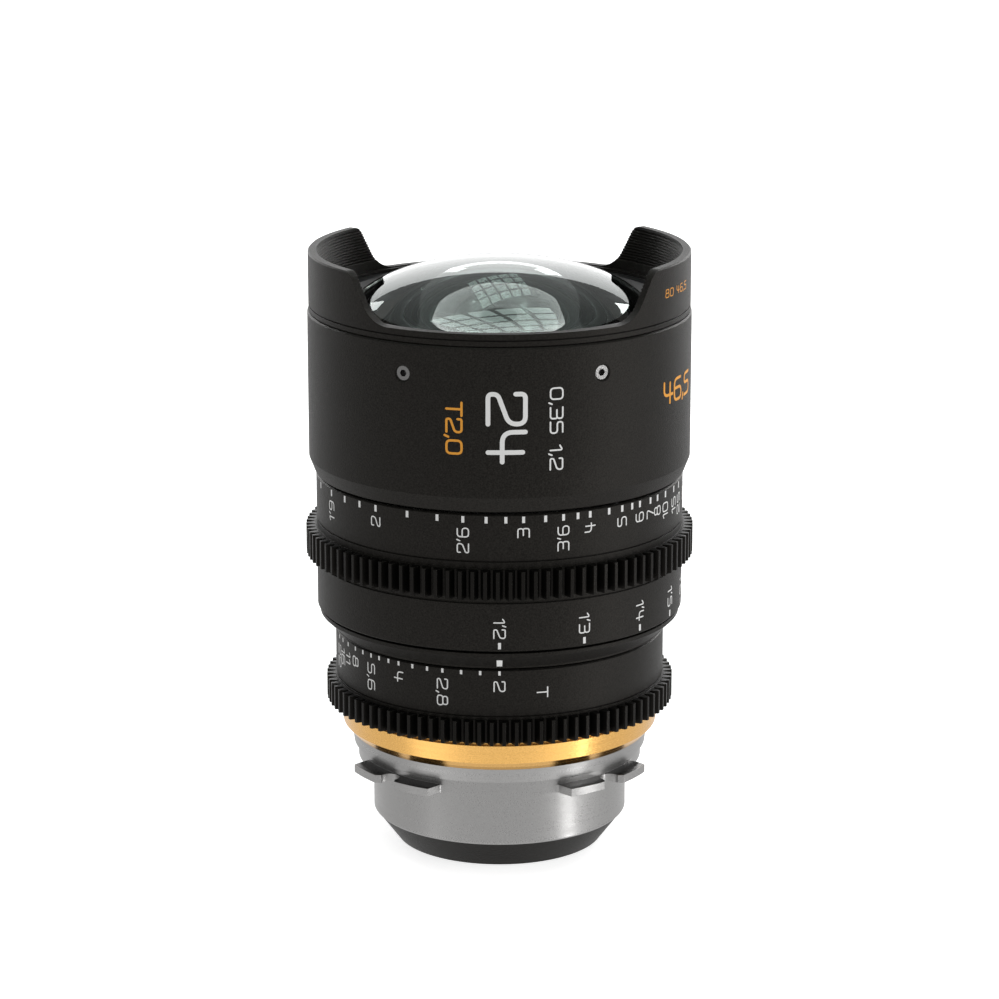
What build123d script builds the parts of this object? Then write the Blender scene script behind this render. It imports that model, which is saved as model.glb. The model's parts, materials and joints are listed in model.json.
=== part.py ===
from build123d import *
from math import atan2, cos, degrees, hypot, pi, radians, sin, sqrt, tan
import os

# A cinema prime lens. All lengths are in millimetres, all angles in degrees.
# The Z axis is the optical axis and points to the front of the lens.
# Z is zero on the seat of the bayonet tabs, the plane that meets the camera.
# Angles round the axis are counted from -Y, the side with the index marks,
# and grow towards +X, which is counter-clockwise seen from the front.
# The rings are drawn at closest focus and at the widest aperture.
# The radius of the mount's barrel sets the size of the lens. Every other
# radius is a named wall, step or width away from it.

# Fits
running_fit = 0.05
seat_fit = 0.03
ring_gap = 0.4
overrun = 2.0
curve_steps = 24

# Bayonet mount
mount_barrel_radius = 27.0
mount_barrel_length = 12.0
mount_barrel_wall = 2.8
mount_edge_chamfer = 0.35
mount_web_width = 6.0
mount_web_thickness = 5.0
neck_step = 3.2
neck_length = 3.2
collar_step = 0.9
collar_flare = 0.4
collar_length = 3.1
spigot_step = 1.7
spigot_length = 3.0
tab_count = 4
tab_reach = 3.8
tab_width = 22.2
tab_thickness = 1.7
tab_root_fillet = 0.8
tab_slot_width = 4.1
tab_slot_depth = 3.55
tab_slot_bevel = 1.0
shim_thickness = 0.2

# Screws that hold the mount, the barrels and the focus ring
screw_count = 6
mount_screw_radius = 1.0
mount_screw_head_radius = 1.8
mount_screw_head_height = 1.4
mount_screw_inset = 2.6
mount_screw_length = 9.0
small_screw_radius = 0.8
small_head_radius = 1.3
small_head_height = 1.2
small_screw_length = 4.6
flange_screw_length = 3.0
screw_hole_spare = 0.4
socket_depth_share = 0.6
socket_width_share = 0.5

# Rear baffle
baffle_length = 6.1
baffle_step = 0.4
baffle_taper = 4.6
baffle_rim = 2.6
baffle_throat_step = 2.6
baffle_spigot_length = 7.0
baffle_spigot_wall = 1.9
baffle_wall = 4.4
baffle_gap = 0.5

# Accent ring between the mount and the iris ring
accent_length = 6.3
accent_inset = 0.8
accent_taper = 0.6
accent_step_depth = 0.8
accent_step_length = 0.5
accent_bevel_length = 1.85
accent_edge_step = 0.3

# Rear barrel, which carries the iris ring and the iris
rear_web_length = 7.5
iris_bearing_step = 1.6
iris_wall = 2.1
rear_cavity_gap = 0.5
rear_cavity_length = 2.0
body_flange_gap = 0.35
body_flange_length = 2.4
body_spigot_step = 0.7
body_spigot_length = 2.7

# Toothed rings
gear_module = 0.8
dedendum_share = 1.25
pressure_angle = 20.0
iris_tooth_phase = 1.5
iris_gear_width = 5.0
iris_gear_offset = 0.1
iris_root_step = 0.2
iris_ring_length = 15.8
iris_ring_wall = 3.75
iris_line_offset = 5.8
focus_tooth_phase = -0.5
focus_gear_width = 6.0
focus_gear_offset = 11.35
focus_root_step = 0.45
focus_rear_line_offset = 10.4
focus_rear_line_width = 0.6
focus_front_line_offset = 18.95
focus_ring_length = 28.75
focus_ring_wall = 3.57
line_width = 0.3
line_depth = 0.35
ring_edge_chamfer = 0.3

# Fixed index ring between the two turning rings
index_ring_length = 4.0
index_inset = 0.55
index_lip_step = 0.2
index_land_length = 0.8
index_lip_length = 0.3
focus_ring_gap = 0.55

# Iris
blade_count = 9
blade_thickness = 0.1
blade_pitch = 0.16
blade_width = 7.0
blade_pivot_inset = 8.4
blade_pivot_step = 1.1
blade_pivot_ear_radius = 1.4
blade_arm_length = 9.0
blade_arm_angle = 84.6
blade_arm_width = 2.4
blade_sweep = 118.0
blade_tail = 9.0
blade_pin_radius = 0.6
iris_throw = 75.5
blade_turn = 29.8
base_plate_thickness = 1.5
cam_ring_thickness = 2.5
cam_ring_bore_step = 0.7
cam_ring_gap = 0.15
iris_clamp_thickness = 1.6
iris_clamp_width = 6.9
link_pin_radius = 0.8
link_pin_grip = 1.7
link_pin_reach = 1.6
link_pin_angle = 142.0
link_notch_clearance = 0.05

# Inner barrel and the focusing mechanism
inner_barrel_step = 0.5
inner_barrel_wall = 3.0
inner_flange_length = 2.5
sleeve_wall = 3.5
washer_thickness = 0.2
focus_lip_thickness = 1.6
focus_lip_clearance = 0.2
focus_throw = 262.0
focus_travel = 6.0
follower_count = 3
follower_radius = 1.0
follower_depth = 1.2
follower_grip = 2.0
follower_drop = 8.6
groove_floor_gap = 0.2
stop_pin_radius = 0.9
stop_pin_inset = 1.32
stop_pin_grip = 3.0
stop_pin_reach = 2.2
stop_pin_angle = 40.0
stop_groove_clearance = 0.1

# Front barrel
barrel_gap = 0.6
front_barrel_step = 1.45
front_barrel_length = 33.8
front_barrel_wall = 4.0
front_bevel_length = 3.1
front_bevel_depth = 1.2
front_web_length = 5.9
front_lip_thickness = 2.0
front_lip_overlap = 0.8
hood_seat_wall = 1.8
hood_step = 0.25
hood_seat_length = 10.9
set_screw_radius = 1.5
set_screw_count = 6
set_screw_first_angle = 31.0
set_screw_offset = 6.2
set_screw_bevel = 0.35
set_screw_recess = 0.4

# Front hood with its two petals
hood_length = 12.6
hood_wall = 2.0
hood_base_wall = 3.0
hood_base_length = 2.5
hood_line_offset = 1.4
hood_bevel = 0.3
notch_floor_height = 2.7
petal_root_depth = 10.85
petal_tip_depth = 4.55
petal_turn = 1.3
notch_bottom_fillet = 7.5
notch_top_fillet = 3.5
notch_arc_steps = 6
ridge_count = 12
ridge_pitch = 0.62
ridge_depth = 0.35
ridge_margin = 0.6

# Glass. Each element is given by its front curve, rear curve, centre
# thickness and rear half diameter, as shares of its half diameter.
# A curve is positive where its centre lies to the rear.
front_element_shares = (1.582, 0.896, 0.12, 0.776)
second_element_shares = (2.39, 0.957, 0.109, 0.783)
third_element_shares = (-4.85, 2.42, 0.11, 1)
fourth_element_shares = (2.73, -3.64, 0.515, 1)
focus_crown_shares = (3.2, -2.667, 0.467, 1)
focus_flint_shares = (-2.667, 4.0, 0.133, 1)
focus_single_shares = (3.33, -6.0, 0.333, 1)
rear_crown_shares = (3.077, -2.308, 0.4615, 1)
rear_flint_shares = (-2.308, 3.462, 0.1385, 1)
rear_positive_shares = (4.615, -2.308, 0.423, 1)
rear_meniscus_shares = (-2.759, -13.79, 0.1241, 1)
rear_element_shares = (4.375, -3.75, 0.3438, 1)
front_apex_height = 10.9
second_element_inset = 10.5
second_rim_drop = 1.83
second_lip_thickness = 0.93
third_element_step = 1.5
third_spacer_length = 1.5
focus_group_gap = 3.7
focus_spacer_length = 2.0
rear_group_gap = 1.4
rear_spacer_length = 1.3
middle_spacer_length = 2.7
meniscus_half_share = 0.906
crown_half_share = 0.8125

# Cells, spacers and threaded rings that hold the glass
glass_fit = 0.03
cement_thickness = 0.02
lip_width = 0.8
lip_thickness = 1.0
spacer_wall = 1.2
clamp_ring_thickness = 1.7
clamp_ring_width = 1.6
front_clamp_overlap = 1.3
front_clamp_thread = 2.05
front_clamp_height = 2.9
front_clamp_lip = 0.7
front_cell_gap = 0.12
front_cell_wall = 3.38
cell_flange_thickness = 2.0
cell_plate_thickness = 3.0
second_cell_wall = 4.5
second_clamp_overlap = 1.1
tail_wall = 4.0
focus_cell_wall = 2.8
focus_cell_space = 8.12
focus_tube_wall = 2.4
focus_web_thickness = 4.0
focus_cell_length = 18.0
focus_tube_drop = 1.3
rear_cell_wall = 2.2
rear_cell_flange_width = 5.3
rear_cell_flange_thickness = 1.8

# Radii of the mount, the baffle and the rear cell
mount_bore_radius = mount_barrel_radius - mount_barrel_wall
mount_screw_circle_radius = mount_bore_radius - mount_screw_inset
neck_radius = mount_barrel_radius + neck_step
tab_radius = neck_radius + tab_reach
collar_rear_radius = neck_radius + collar_step
collar_front_radius = collar_rear_radius + collar_flare
spigot_radius = collar_rear_radius - spigot_step
baffle_front_radius = mount_barrel_radius - baffle_step
baffle_rear_radius = baffle_front_radius - baffle_taper
baffle_mouth_radius = baffle_rear_radius - baffle_rim
baffle_throat_radius = baffle_mouth_radius - baffle_throat_step
rear_cell_radius = mount_bore_radius - mount_web_width
rear_cell_flange_radius = rear_cell_radius + rear_cell_flange_width
rear_cavity_radius = rear_cell_flange_radius + rear_cavity_gap
mount_web_bore = rear_cell_radius + ring_gap

# Radii of the rear barrel and the aperture ring
iris_bearing_radius = spigot_radius + iris_bearing_step
iris_bore_radius = iris_bearing_radius - iris_wall
iris_ring_bore = iris_bearing_radius + running_fit
iris_ring_radius = iris_ring_bore + iris_ring_wall
body_spigot_radius = iris_bore_radius + body_spigot_step
accent_front_radius = iris_ring_radius - accent_inset
accent_rear_radius = accent_front_radius - accent_taper
accent_step_radius = accent_front_radius - accent_step_depth
accent_edge_radius = collar_front_radius + accent_edge_step

# Radii of the iris
cam_ring_radius = iris_bore_radius - running_fit
blade_pivot_radius = iris_bore_radius - blade_pivot_inset
blade_outer_radius = blade_pivot_radius - blade_pivot_step
blade_inner_radius = blade_outer_radius - blade_width
cam_ring_bore_radius = blade_pivot_radius - cam_ring_bore_step
iris_clamp_bore_radius = iris_bore_radius - iris_clamp_width

# Radii of the focusing mechanism
inner_barrel_bore_radius = iris_bore_radius - inner_barrel_step
inner_barrel_radius = inner_barrel_bore_radius + inner_barrel_wall
focus_cell_radius = inner_barrel_bore_radius - running_fit
sleeve_bore = inner_barrel_radius + running_fit
sleeve_radius = sleeve_bore + sleeve_wall
body_flange_radius = sleeve_radius - body_flange_gap
focus_bore = sleeve_radius + seat_fit
focus_ring_radius = focus_bore + focus_ring_wall
index_front_radius = focus_ring_radius - index_inset
index_rear_radius = iris_ring_radius + index_lip_step
stop_pin_circle_radius = focus_bore + stop_pin_inset
small_screw_circle = (inner_barrel_radius + inner_barrel_bore_radius) / 2
sleeve_screw_circle = (sleeve_bore + sleeve_radius) / 2
flange_screw_circle = (inner_barrel_radius + body_flange_radius) / 2

# Radii of the front barrel, the hood and the front cell
front_barrel_radius = focus_ring_radius + front_barrel_step
front_bore_radius = front_barrel_radius - front_barrel_wall
front_lip_bore_radius = inner_barrel_bore_radius - front_lip_overlap
hood_seat_radius = front_barrel_radius - hood_seat_wall
hood_radius = front_barrel_radius - hood_step
notch_bottom_half_width = hood_radius - petal_root_depth
notch_top_half_width = hood_radius - petal_tip_depth
hood_base_bore = front_barrel_radius - hood_base_wall
front_cell_radius = hood_base_bore - front_cell_gap
front_cell_flange_radius = hood_seat_radius - seat_fit

# Teeth: as many as fit round each ring
dedendum = dedendum_share * gear_module
focus_teeth = round(2 * (focus_ring_radius + focus_root_step + dedendum) / gear_module)
iris_teeth = round(2 * (iris_ring_radius + iris_root_step + dedendum) / gear_module)

# Heights along the axis, from the flange plane forwards
neck_top = neck_length
collar_top = neck_top + collar_length
mount_face = collar_top + spigot_length
mount_web_bottom = mount_face - mount_web_thickness
rear_barrel_bottom = mount_face + shim_thickness
accent_top = collar_top + accent_length
iris_ring_bottom = accent_top + ring_gap
iris_ring_top = iris_ring_bottom + iris_ring_length
index_bottom = iris_ring_top + ring_gap
index_top = index_bottom + index_ring_length
focus_ring_bottom = index_top + focus_ring_gap
focus_ring_top = focus_ring_bottom + focus_ring_length
front_barrel_bottom = focus_ring_top + barrel_gap
front_barrel_top = front_barrel_bottom + front_barrel_length
hood_top = front_barrel_top + hood_length
notch_floor = front_barrel_top + notch_floor_height

# Heights inside the rear barrel
rear_web_top = rear_barrel_bottom + rear_web_length
base_plate_bottom = rear_web_top + rear_cavity_length
base_plate_top = base_plate_bottom + base_plate_thickness
blades_bottom = base_plate_top + blade_pitch - blade_thickness
cam_ring_bottom = blades_bottom + blade_count * blade_pitch + cam_ring_gap
cam_ring_top = cam_ring_bottom + cam_ring_thickness
iris_clamp_bottom = cam_ring_top + cam_ring_gap
link_pin_height = (cam_ring_bottom + cam_ring_top) / 2

# Heights of the focusing mechanism
inner_flange_top = index_top + inner_flange_length
sleeve_bottom = inner_flange_top + washer_thickness
sleeve_top = focus_ring_top - focus_lip_thickness
front_web_top = front_barrel_bottom + front_web_length
inner_barrel_top = front_web_top - front_lip_thickness
hood_seat_bottom = front_barrel_top - hood_seat_length
cell_flange_top = hood_seat_bottom + cell_flange_thickness
set_screw_height = front_barrel_top - set_screw_offset


def ground(shares, half):
    """An element's sizes: front curve, rear curve, thickness, half and rear half diameter."""
    front, rear, thickness, rear_half = shares
    return half * front, half * rear, half * thickness, half, half * rear_half


def sag(curve, radius):
    """How far a spherical surface falls to the rear at a distance from the axis."""
    depth = abs(curve) - sqrt(curve**2 - radius**2)
    return depth if curve > 0 else -depth


def front_face(glass, vertex, radius):
    """The height of an element's front surface at a distance from the axis."""
    return vertex - sag(glass[0], radius)


def rear_face(glass, vertex, radius):
    """The height of an element's rear surface at a distance from the axis."""
    return vertex - glass[2] - sag(glass[1], radius)


def front_rim(glass, vertex):
    """The height of an element's front edge."""
    return front_face(glass, vertex, glass[3])


def rear_rim(glass, vertex):
    """The height of an element's rear edge."""
    return rear_face(glass, vertex, glass[4])


# Sizes of the glass, from the bores that hold it
front_half = front_cell_radius - front_cell_wall
second_half = front_half - second_element_inset
focus_half = focus_cell_radius - focus_cell_wall - focus_cell_space - focus_tube_wall - glass_fit
third_half = focus_half + third_element_step
rear_half = rear_cell_radius - rear_cell_wall
meniscus_half = rear_half * meniscus_half_share
crown_half = rear_half * crown_half_share
front_element_glass = ground(front_element_shares, front_half)
second_element_glass = ground(second_element_shares, second_half)
third_element_glass = ground(third_element_shares, third_half)
fourth_element_glass = ground(fourth_element_shares, third_half)
focus_crown_glass = ground(focus_crown_shares, focus_half)
focus_flint_glass = ground(focus_flint_shares, focus_half)
focus_single_glass = ground(focus_single_shares, focus_half)
rear_crown_glass = ground(rear_crown_shares, crown_half)
rear_flint_glass = ground(rear_flint_shares, crown_half)
rear_positive_glass = ground(rear_positive_shares, crown_half)
rear_meniscus_glass = ground(rear_meniscus_shares, meniscus_half)
rear_element_glass = ground(rear_element_shares, rear_half)

# Heights of the front group
front_apex = front_barrel_top + front_apex_height
front_seat = rear_rim(front_element_glass, front_apex)
front_glass_rim = front_rim(front_element_glass, front_apex)
front_cell_top = front_glass_rim + front_clamp_height
second_rim = front_seat - second_rim_drop
second_apex = second_rim + sag(second_element_glass[0], second_half)
second_seat = rear_rim(second_element_glass, second_apex)
third_rim = second_seat - second_lip_thickness
third_apex = third_rim + sag(third_element_glass[0], third_half)
fourth_rim = rear_rim(third_element_glass, third_apex) - third_spacer_length
fourth_apex = fourth_rim + sag(fourth_element_glass[0], third_half)
front_cell_bottom = rear_rim(fourth_element_glass, fourth_apex) - clamp_ring_thickness

# Heights of the focusing group, at closest focus
focus_apex = fourth_apex - fourth_element_glass[2] - focus_group_gap
focus_flint_apex = focus_apex - focus_crown_glass[2] - cement_thickness
focus_flint_rim = rear_rim(focus_flint_glass, focus_flint_apex)
focus_single_apex = focus_flint_rim - focus_spacer_length + sag(focus_single_glass[0], focus_half)
focus_tube_bottom = rear_rim(focus_single_glass, focus_single_apex) - clamp_ring_thickness
focus_tube_top = front_rim(focus_crown_glass, focus_apex) + lip_thickness
focus_cell_top = focus_tube_top + focus_tube_drop
focus_cell_bottom = focus_cell_top - focus_cell_length
follower_z = focus_apex - follower_drop

# Heights of the rear group: four elements from the front, one from the rear
rear_cell_top = rear_web_top + rear_cell_flange_thickness
rear_apex = rear_cell_top - rear_group_gap
rear_crown_rim = front_rim(rear_crown_glass, rear_apex)
rear_flint_apex = rear_apex - rear_crown_glass[2] - cement_thickness
rear_flint_rim = rear_rim(rear_flint_glass, rear_flint_apex)
rear_positive_apex = rear_flint_rim - rear_spacer_length + sag(rear_positive_glass[0], crown_half)
rear_meniscus_rim = rear_rim(rear_positive_glass, rear_positive_apex) - middle_spacer_length
rear_meniscus_apex = rear_meniscus_rim + sag(rear_meniscus_glass[0], meniscus_half)
baffle_bottom = -mount_barrel_length - baffle_length
baffle_floor = baffle_bottom + baffle_wall
rear_cell_bottom = baffle_floor + baffle_gap
rear_element_back = rear_cell_bottom + clamp_ring_thickness
rear_element_apex = rear_element_back + rear_element_glass[2] + sag(rear_element_glass[1], rear_half)
rear_element_rim = front_rim(rear_element_glass, rear_element_apex)


def turned(*outline):
    """A solid of revolution from its half section, a list of (radius, height)."""
    distinct = [point for point, previous in zip(outline, outline[-1:] + outline) if point != previous]
    corners = [(radius, 0, height) for radius, height in distinct]
    return revolve(make_face(Polyline(*corners, close=True)), Axis.Z)


def tube(inner, outer, bottom, top):
    """A plain ring."""
    return turned((inner, bottom), (outer, bottom), (outer, top), (inner, top))


def around(count, piece, first=0.0):
    """Copies of a piece, evenly spaced round the axis."""
    return [Rot(0, 0, first + 360 / count * i) * piece for i in range(count)]


def rod(radius, inner, outer, height):
    """A round bar that lies along -Y, between two distances from the axis."""
    bar = extrude(Circle(radius), amount=outer - inner)
    return Pos(0, -inner, height) * Rot(90, 0, 0) * bar


def pillar(radius, distance, bottom, top):
    """A round bar along Z, at a distance from the axis on the -Y side."""
    return Pos(0, -distance, bottom) * extrude(Circle(radius), amount=top - bottom)


def socket(width, depth, top):
    """The cutter for a hexagonal recess that opens upwards."""
    return Pos(0, 0, top - depth) * extrude(RegularPolygon(width / 2, 6), amount=depth + overrun)


def screw(shank, head, head_height, length):
    """A screw that points down, with the top of its head at zero height."""
    head_bottom = -head_height
    rim = [(head, 0), (head, head_bottom), (shank, head_bottom), (shank, -length)]
    body = turned((0, 0), *rim, (0, -length))
    return body - socket(2 * head * socket_width_share, head_height * socket_depth_share, 0)


def element(glass, vertex):
    """A lens element, from the height of its front vertex."""
    front, rear, thickness, half, rear_half = glass
    back = vertex - thickness
    front_edge = (half, 0, vertex - sag(front, half))
    rear_edge = (rear_half, 0, back - sag(rear, rear_half))
    front_middle = (half / 2, 0, vertex - sag(front, half / 2))
    rear_middle = (rear_half / 2, 0, back - sag(rear, rear_half / 2))
    rim = [front_edge, (half, 0, rear_edge[2])]
    if rear_half < half:
        rim.append(rear_edge)
    section = [
        ThreePointArc((0, 0, vertex), front_middle, front_edge),
        Polyline(*rim),
        ThreePointArc(rim[-1], rear_middle, (0, 0, back)),
        Line((0, 0, back), (0, 0, vertex)),
    ]
    return revolve(make_face(section), Axis.Z)


def tooth_outline(teeth, phase):
    """The outline of a spur gear, with straight flanks."""
    pitch_radius = gear_module * teeth / 2
    tip = pitch_radius + gear_module
    root = pitch_radius - dedendum_share * gear_module
    half_pitch_thickness = pi * gear_module / 4
    lean = tan(radians(pressure_angle))
    half_tip = degrees((half_pitch_thickness - lean * (tip - pitch_radius)) / tip)
    half_root = degrees((half_pitch_thickness + lean * (pitch_radius - root)) / root)
    points = []
    for tooth in range(teeth):
        middle = phase + 360 / teeth * tooth
        for radius, angle in ((root, -half_root), (tip, -half_tip), (tip, half_tip), (root, half_root)):
            turn = radians(middle + angle)
            points.append((radius * sin(turn), -radius * cos(turn)))
    return points


def gear_band(teeth, phase, bore, bottom, width):
    """The toothed band of a ring."""
    face = make_face(Polyline(*tooth_outline(teeth, phase), close=True)) - Circle(bore)
    return Pos(0, 0, bottom) * extrude(face, amount=width)


def line_cut(radius, height, width):
    """The cutter for a turned line round a ring."""
    return tube(radius - line_depth, radius + overrun, height - width / 2, height + width / 2)


def arc_band(radius, half_width, first, last):
    """A flat band that follows a circle between two angles."""
    reach = radius + half_width + overrun
    angles = [radians(first + (last - first) * i / curve_steps) for i in range(curve_steps + 1)]
    fan = [(0, 0)] + [(reach * sin(angle), -reach * cos(angle)) for angle in angles]
    band = Circle(radius + half_width) - Circle(radius - half_width)
    return band & make_face(Polyline(*fan, close=True))


def band_end(radius, half_width, angle):
    """The round end of a flat band, centred at an angle."""
    return Rot(0, 0, angle) * Pos(0, -radius) * Circle(half_width)


def lens_mount():
    """The steel bayonet: barrel, neck with four tabs, collar and front spigot."""
    body = turned(
        (mount_bore_radius, -mount_barrel_length),
        (mount_barrel_radius - mount_edge_chamfer, -mount_barrel_length),
        (mount_barrel_radius, -mount_barrel_length + mount_edge_chamfer),
        (mount_barrel_radius, 0),
        (neck_radius, 0),
        (neck_radius, neck_top),
        (collar_rear_radius, neck_top),
        (collar_front_radius, collar_top),
        (spigot_radius, collar_top),
        (spigot_radius, mount_face),
        (mount_web_bore, mount_face),
        (mount_web_bore, mount_web_bottom),
        (mount_bore_radius, mount_web_bottom),
    )
    reach = 2 * tab_radius
    cross = Rectangle(reach, tab_width) + Rectangle(tab_width, reach)
    star = (Circle(tab_radius) & (Rot(0, 0, 45) * cross)) + Circle(neck_radius)
    inner_corners = [v for v in star.vertices() if hypot(v.X, v.Y) < neck_radius + tab_root_fillet]
    tabs = extrude(fillet(inner_corners, tab_root_fillet), amount=tab_thickness)
    tabs -= extrude(Circle(spigot_radius), amount=tab_thickness)
    body += tabs
    half = tab_slot_width / 2
    slot_middle = tab_radius - tab_slot_depth + half
    mouth = tab_radius - tab_slot_bevel
    edge = tab_radius + tab_slot_bevel
    channel = make_face(
        Polyline(
            (-half, -slot_middle),
            (-half, -mouth),
            (-half - edge + mouth, -edge),
            (half + edge - mouth, -edge),
            (half, -mouth),
            (half, -slot_middle),
            close=True,
        )
    )
    cutter = extrude(channel + Pos(0, -slot_middle) * Circle(half), amount=neck_length)
    body -= around(tab_count, cutter, 45)
    hole = pillar(mount_screw_radius + seat_fit, mount_screw_circle_radius, mount_web_bottom, mount_face)
    body -= around(screw_count, hole)
    return body


def mount_screws():
    """The screws that hold the mount, driven from inside its barrel."""
    one = screw(mount_screw_radius, mount_screw_head_radius, mount_screw_head_height, mount_screw_length)
    head_bottom = mount_web_bottom - mount_screw_head_height
    return around(screw_count, Pos(0, -mount_screw_circle_radius, head_bottom) * Rot(180, 0, 0) * one)


def mount_shim():
    """The thin ring that sets the distance from the glass to the camera."""
    ring = tube(mount_web_bore, spigot_radius, mount_face, rear_barrel_bottom)
    radius = mount_screw_radius + seat_fit
    hole = pillar(radius, mount_screw_circle_radius, mount_face, rear_barrel_bottom)
    return ring - around(screw_count, hole)


def rear_baffle():
    """The black cone behind the mount that shades the rear element."""
    spigot = mount_bore_radius - seat_fit
    spigot_top = baffle_spigot_length - mount_barrel_length
    return turned(
        (baffle_mouth_radius, baffle_bottom),
        (baffle_rear_radius, baffle_bottom),
        (baffle_front_radius, -mount_barrel_length),
        (spigot, -mount_barrel_length),
        (spigot, spigot_top),
        (spigot - baffle_spigot_wall, spigot_top),
        (spigot - baffle_spigot_wall, baffle_floor),
        (baffle_throat_radius, baffle_floor),
    )


def accent_ring():
    """The coloured ring that is clamped between the mount and the rear barrel."""
    bore = spigot_radius + seat_fit
    return turned(
        (bore, collar_top),
        (accent_edge_radius, collar_top),
        (accent_rear_radius, collar_top + accent_bevel_length),
        (accent_front_radius, accent_top - accent_step_length),
        (accent_step_radius, accent_top - accent_step_length),
        (accent_step_radius, accent_top),
        (bore, accent_top),
    )


def rear_barrel():
    """The fixed barrel inside the iris ring."""
    bore = rear_cell_radius + seat_fit
    body = turned(
        (bore, rear_barrel_bottom),
        (spigot_radius, rear_barrel_bottom),
        (spigot_radius, accent_top),
        (iris_bearing_radius, accent_top),
        (iris_bearing_radius, index_top - body_flange_length),
        (body_flange_radius, index_top - body_flange_length),
        (body_flange_radius, index_top),
        (body_spigot_radius, index_top),
        (body_spigot_radius, index_top - body_spigot_length),
        (iris_bore_radius, index_top - body_spigot_length),
        (iris_bore_radius, base_plate_bottom),
        (rear_cavity_radius, base_plate_bottom),
        (rear_cavity_radius, rear_web_top),
        (bore, rear_web_top),
    )
    screw_tip = mount_web_bottom - mount_screw_head_height + mount_screw_length
    mount_hole = pillar(
        mount_screw_radius + seat_fit,
        mount_screw_circle_radius,
        rear_barrel_bottom,
        screw_tip + screw_hole_spare,
    )
    flange_hole = pillar(
        small_screw_radius + seat_fit,
        flange_screw_circle,
        index_top - body_flange_length,
        index_top,
    )
    body -= around(screw_count, mount_hole) + around(screw_count, flange_hole)
    return body - link_window()


def link_window():
    """The cutters for the slot that lets the link pin turn, which runs round the wall."""
    half = link_pin_radius + running_fit
    inner = iris_bore_radius - overrun
    outer = iris_bearing_radius + overrun
    middle = (inner + outer) / 2
    slack = degrees(running_fit / middle)
    first = link_pin_angle - slack
    last = link_pin_angle + iris_throw + slack
    flat = arc_band(middle, (outer - inner) / 2, first, last)
    band = Pos(0, 0, link_pin_height - half) * extrude(flat, amount=2 * half)
    ends = [Rot(0, 0, angle) * rod(half, inner, outer, link_pin_height) for angle in (first, last)]
    return [band, *ends]


def iris_ring():
    """The aperture ring: scale band in front, toothed band at the rear."""
    gear_bottom = iris_ring_bottom + iris_gear_offset
    chamfer = ring_edge_chamfer
    ring = turned(
        (iris_ring_bore, iris_ring_bottom),
        (iris_ring_radius - chamfer, iris_ring_bottom),
        (iris_ring_radius, iris_ring_bottom + chamfer),
        (iris_ring_radius, iris_ring_top - chamfer),
        (iris_ring_radius - chamfer, iris_ring_top),
        (iris_ring_bore, iris_ring_top),
    )
    ring -= line_cut(iris_ring_radius, iris_ring_bottom + iris_line_offset, line_width)
    bore = iris_ring_radius - ring_edge_chamfer
    ring += gear_band(iris_teeth, iris_tooth_phase, bore, gear_bottom, iris_gear_width)
    half = link_pin_radius + link_notch_clearance
    depth = iris_bearing_radius + link_pin_reach + seat_fit
    height = link_pin_height + half - iris_ring_bottom
    notch = Box(2 * half, depth, height, align=(Align.CENTER, Align.MAX, Align.MIN))
    return ring - Rot(0, 0, link_pin_angle) * Pos(0, 0, iris_ring_bottom) * notch


def iris_link_pin():
    """The pin that joins the aperture ring to the cam ring, through the barrel's slot."""
    inner = cam_ring_radius - link_pin_grip
    outer = iris_bearing_radius + link_pin_reach
    return Rot(0, 0, link_pin_angle) * rod(link_pin_radius, inner, outer, link_pin_height)


def iris_base_plate():
    """The fixed plate that the blades pivot on."""
    plate = tube(blade_inner_radius, iris_bore_radius - seat_fit, base_plate_bottom, base_plate_top)
    hole = pillar(blade_pin_radius + running_fit, blade_pivot_radius, base_plate_bottom, base_plate_top)
    return plate - around(blade_count, hole)


def blade_pin_path(ring_turn):
    """Where the first blade's drive pin stands in the cam ring, at a turn of the ring."""
    swing = radians(blade_arm_angle + blade_turn * ring_turn / iris_throw)
    x = -blade_arm_length * sin(swing)
    y = -blade_pivot_radius + blade_arm_length * cos(swing)
    back = radians(-ring_turn)
    return x * cos(back) - y * sin(back), x * sin(back) + y * cos(back)


def iris_cam_ring():
    """The turning ring whose spiral slots drive the blades."""
    half = blade_pin_radius + running_fit
    step = iris_throw / curve_steps
    turns = [step * i for i in range(curve_steps + 1)]
    path = [blade_pin_path(turn) for turn in turns]
    left, right = [], []
    for turn, (x, y) in zip(turns, path):
        ahead = blade_pin_path(turn + step)
        behind = blade_pin_path(turn - step)
        along = (ahead[0] - behind[0], ahead[1] - behind[1])
        length = hypot(*along)
        side = (-along[1] / length * half, along[0] / length * half)
        left.append((x + side[0], y + side[1]))
        right.append((x - side[0], y - side[1]))
    outline = make_face(
        [Spline(*left), Line(left[-1], right[-1]), Spline(*reversed(right)), Line(right[0], left[0])]
    )
    slot = outline + Pos(*path[0]) * Circle(half) + Pos(*path[-1]) * Circle(half)
    face = Circle(cam_ring_radius) - Circle(cam_ring_bore_radius)
    face -= around(blade_count, slot)
    ring = Pos(0, 0, cam_ring_bottom) * extrude(face, amount=cam_ring_thickness)
    inner = cam_ring_radius - link_pin_grip
    seat = rod(link_pin_radius + seat_fit, inner, cam_ring_radius + overrun, link_pin_height)
    return ring - Rot(0, 0, link_pin_angle) * seat


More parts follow.
